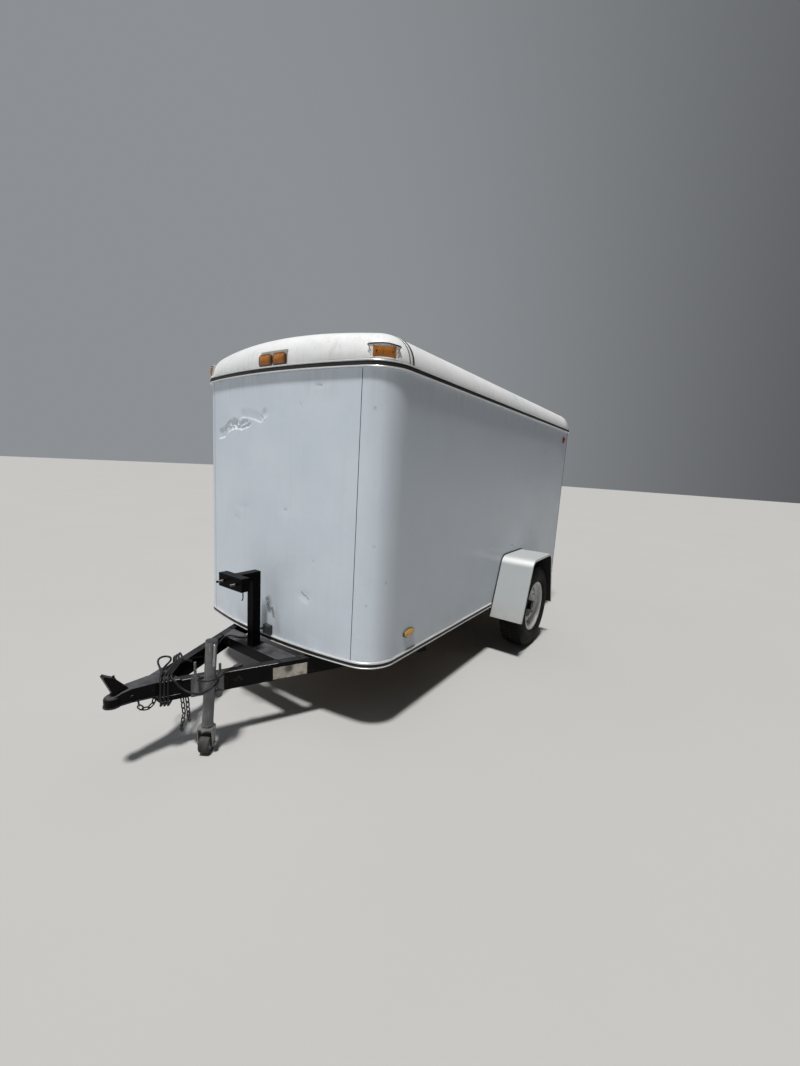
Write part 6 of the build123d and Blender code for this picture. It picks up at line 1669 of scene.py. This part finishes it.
# frame trim round the side doorway
B = Build()
for a0, b0, a1, b1 in ((452, 414, 1288, 438), (452, 1852, 1288, 1876), (452, 414, 478, 1876), (1262, 414, 1288, 1876)):
    if b0 == 414 and b1 == 1876 and a0 == 452:
        for q0, q1 in ((414, 568), (632, 1113), (1177, 1658), (1722, 1876)):
            B.box((-0.7630, Y((a0 + a1) / 2), (q0 + q1) / 2000), (0.0022, (a1 - a0) / 1000, (q1 - q0) / 1000))
    else:
        B.box((-0.7630, Y((a0 + a1) / 2), (b0 + b1) / 2000), (0.0022, (a1 - a0) / 1000, (b1 - b0) / 1000))
B.out("side_doorway_trim", mat_alu, "chassis", 0.0006, 1, slot="trim_aluminium")
B = Build()
lz = 1.080
B.lathe([(0.011, 0), (0.011, 0.003), (0.0085, 0.0042), (0.0030, 0.0042), (0.0030, 0.002), (0, 0.002)], (-0.7680, Y(1185), lz - 0.040), (-1, 0, 0), 24)
for dy, dz in ((-38, 62), (38, 62), (-38, -62), (38, -62)):
    B.lathe([(0.0042, -0.001), (0.0042, 0.001), (0.003, 0.0022), (0.0, 0.0026)], (-0.7680, Y(1185 + dy), lz + dz / 1000), (-1, 0, 0), 12)
B.out("side_latch_details", mat_zinc, "side_door", slot="steel_bare")

# floor screws and a lining seam line inside
B = Build()
for x in (-0.62, -0.31, 0.0, 0.31, 0.62):
    for stn in (680, 1180, 1680, 2180, 2680, 3120):
        B.lathe([(0.0045, 0.0), (0.0045, 0.0005), (0.0032, 0.0006), (0.0, 0.0003)], (x, Y(stn), 0.438), (0, 0, 1), 12)
for stn in (1388, 2608):
    B.box((0, Y(stn), 0.4381), (1.44, 0.0022, 0.0004))
B.out("floor_fixings", mat_under, "chassis", slot="steel_bare")

# ------------------------------------------------------------------ floor, light
me = bpy.data.meshes.new("studio_floor")
S = 60.0
me.from_pydata([(-S, -S, 0), (S, -S, 0), (S, S, 0), (-S, S, 0)], [], [(0, 1, 2, 3)])
ground = bpy.data.objects.new("studio_floor", me)
bpy.context.scene.collection.objects.link(ground)
G = Mat("studio_floor", 0.85, 0.0, 0.2)
G.color(G.mix(G.span(G.noise(0.6, 3, 0.5), 0.3, 0.7), (0.43, 0.428, 0.421), (0.441, 0.438, 0.431)))
me.materials.append(G.m)

world = bpy.data.worlds.new("studio")
bpy.context.scene.world = world
world.use_nodes = True
wn = world.node_tree
bg = wn.nodes["Background"]
wtc = wn.nodes.new("ShaderNodeTexCoord")
wsep = wn.nodes.new("ShaderNodeSeparateXYZ")
wn.links.new(wtc.outputs["Generated"], wsep.inputs[0])
wmr = wn.nodes.new("ShaderNodeMapRange")
wmr.interpolation_type = "SMOOTHSTEP"
wn.links.new(wsep.outputs[0], wmr.inputs["Value"])
wmr.inputs["From Min"].default_value = -0.7
wmr.inputs["From Max"].default_value = 0.65
wmr.inputs["To Min"].default_value = 0.285
wmr.inputs["To Max"].default_value = 0.035
bg.inputs[0].default_value = (0.93, 0.975, 1.03, 1)
wn.links.new(wmr.outputs[0], bg.inputs[1])

key = bpy.data.lights.new("key", "SUN")
key.energy = 3.8
key.angle = math.radians(7)
key.color = (1.0, 0.985, 0.96)
ko = bpy.data.objects.new("key", key)
bpy.context.scene.collection.objects.link(ko)
kd = Vector((0.07, -0.27, 0.96)).normalized()
ko.rotation_euler = (-kd).to_track_quat("-Z", "Y").to_euler()
ko.location = kd * 8
# broad soft fill from ahead, low on the kerb side
fill = bpy.data.lights.new("fill", "SUN")
fill.energy = 0.20
fill.angle = math.radians(70)
fill.color = (0.96, 0.985, 1.0)
fo = bpy.data.objects.new("fill", fill)
bpy.context.scene.collection.objects.link(fo)
fd = Vector((-0.45, -0.85, 0.30)).normalized()
fo.rotation_euler = (-fd).to_track_quat("-Z", "Y").to_euler()
fo.location = fd * 8

bpy.context.scene.view_settings.view_transform = "Standard"
bpy.context.scene.view_settings.look = "None"
bpy.context.scene.view_settings.exposure = 0.0
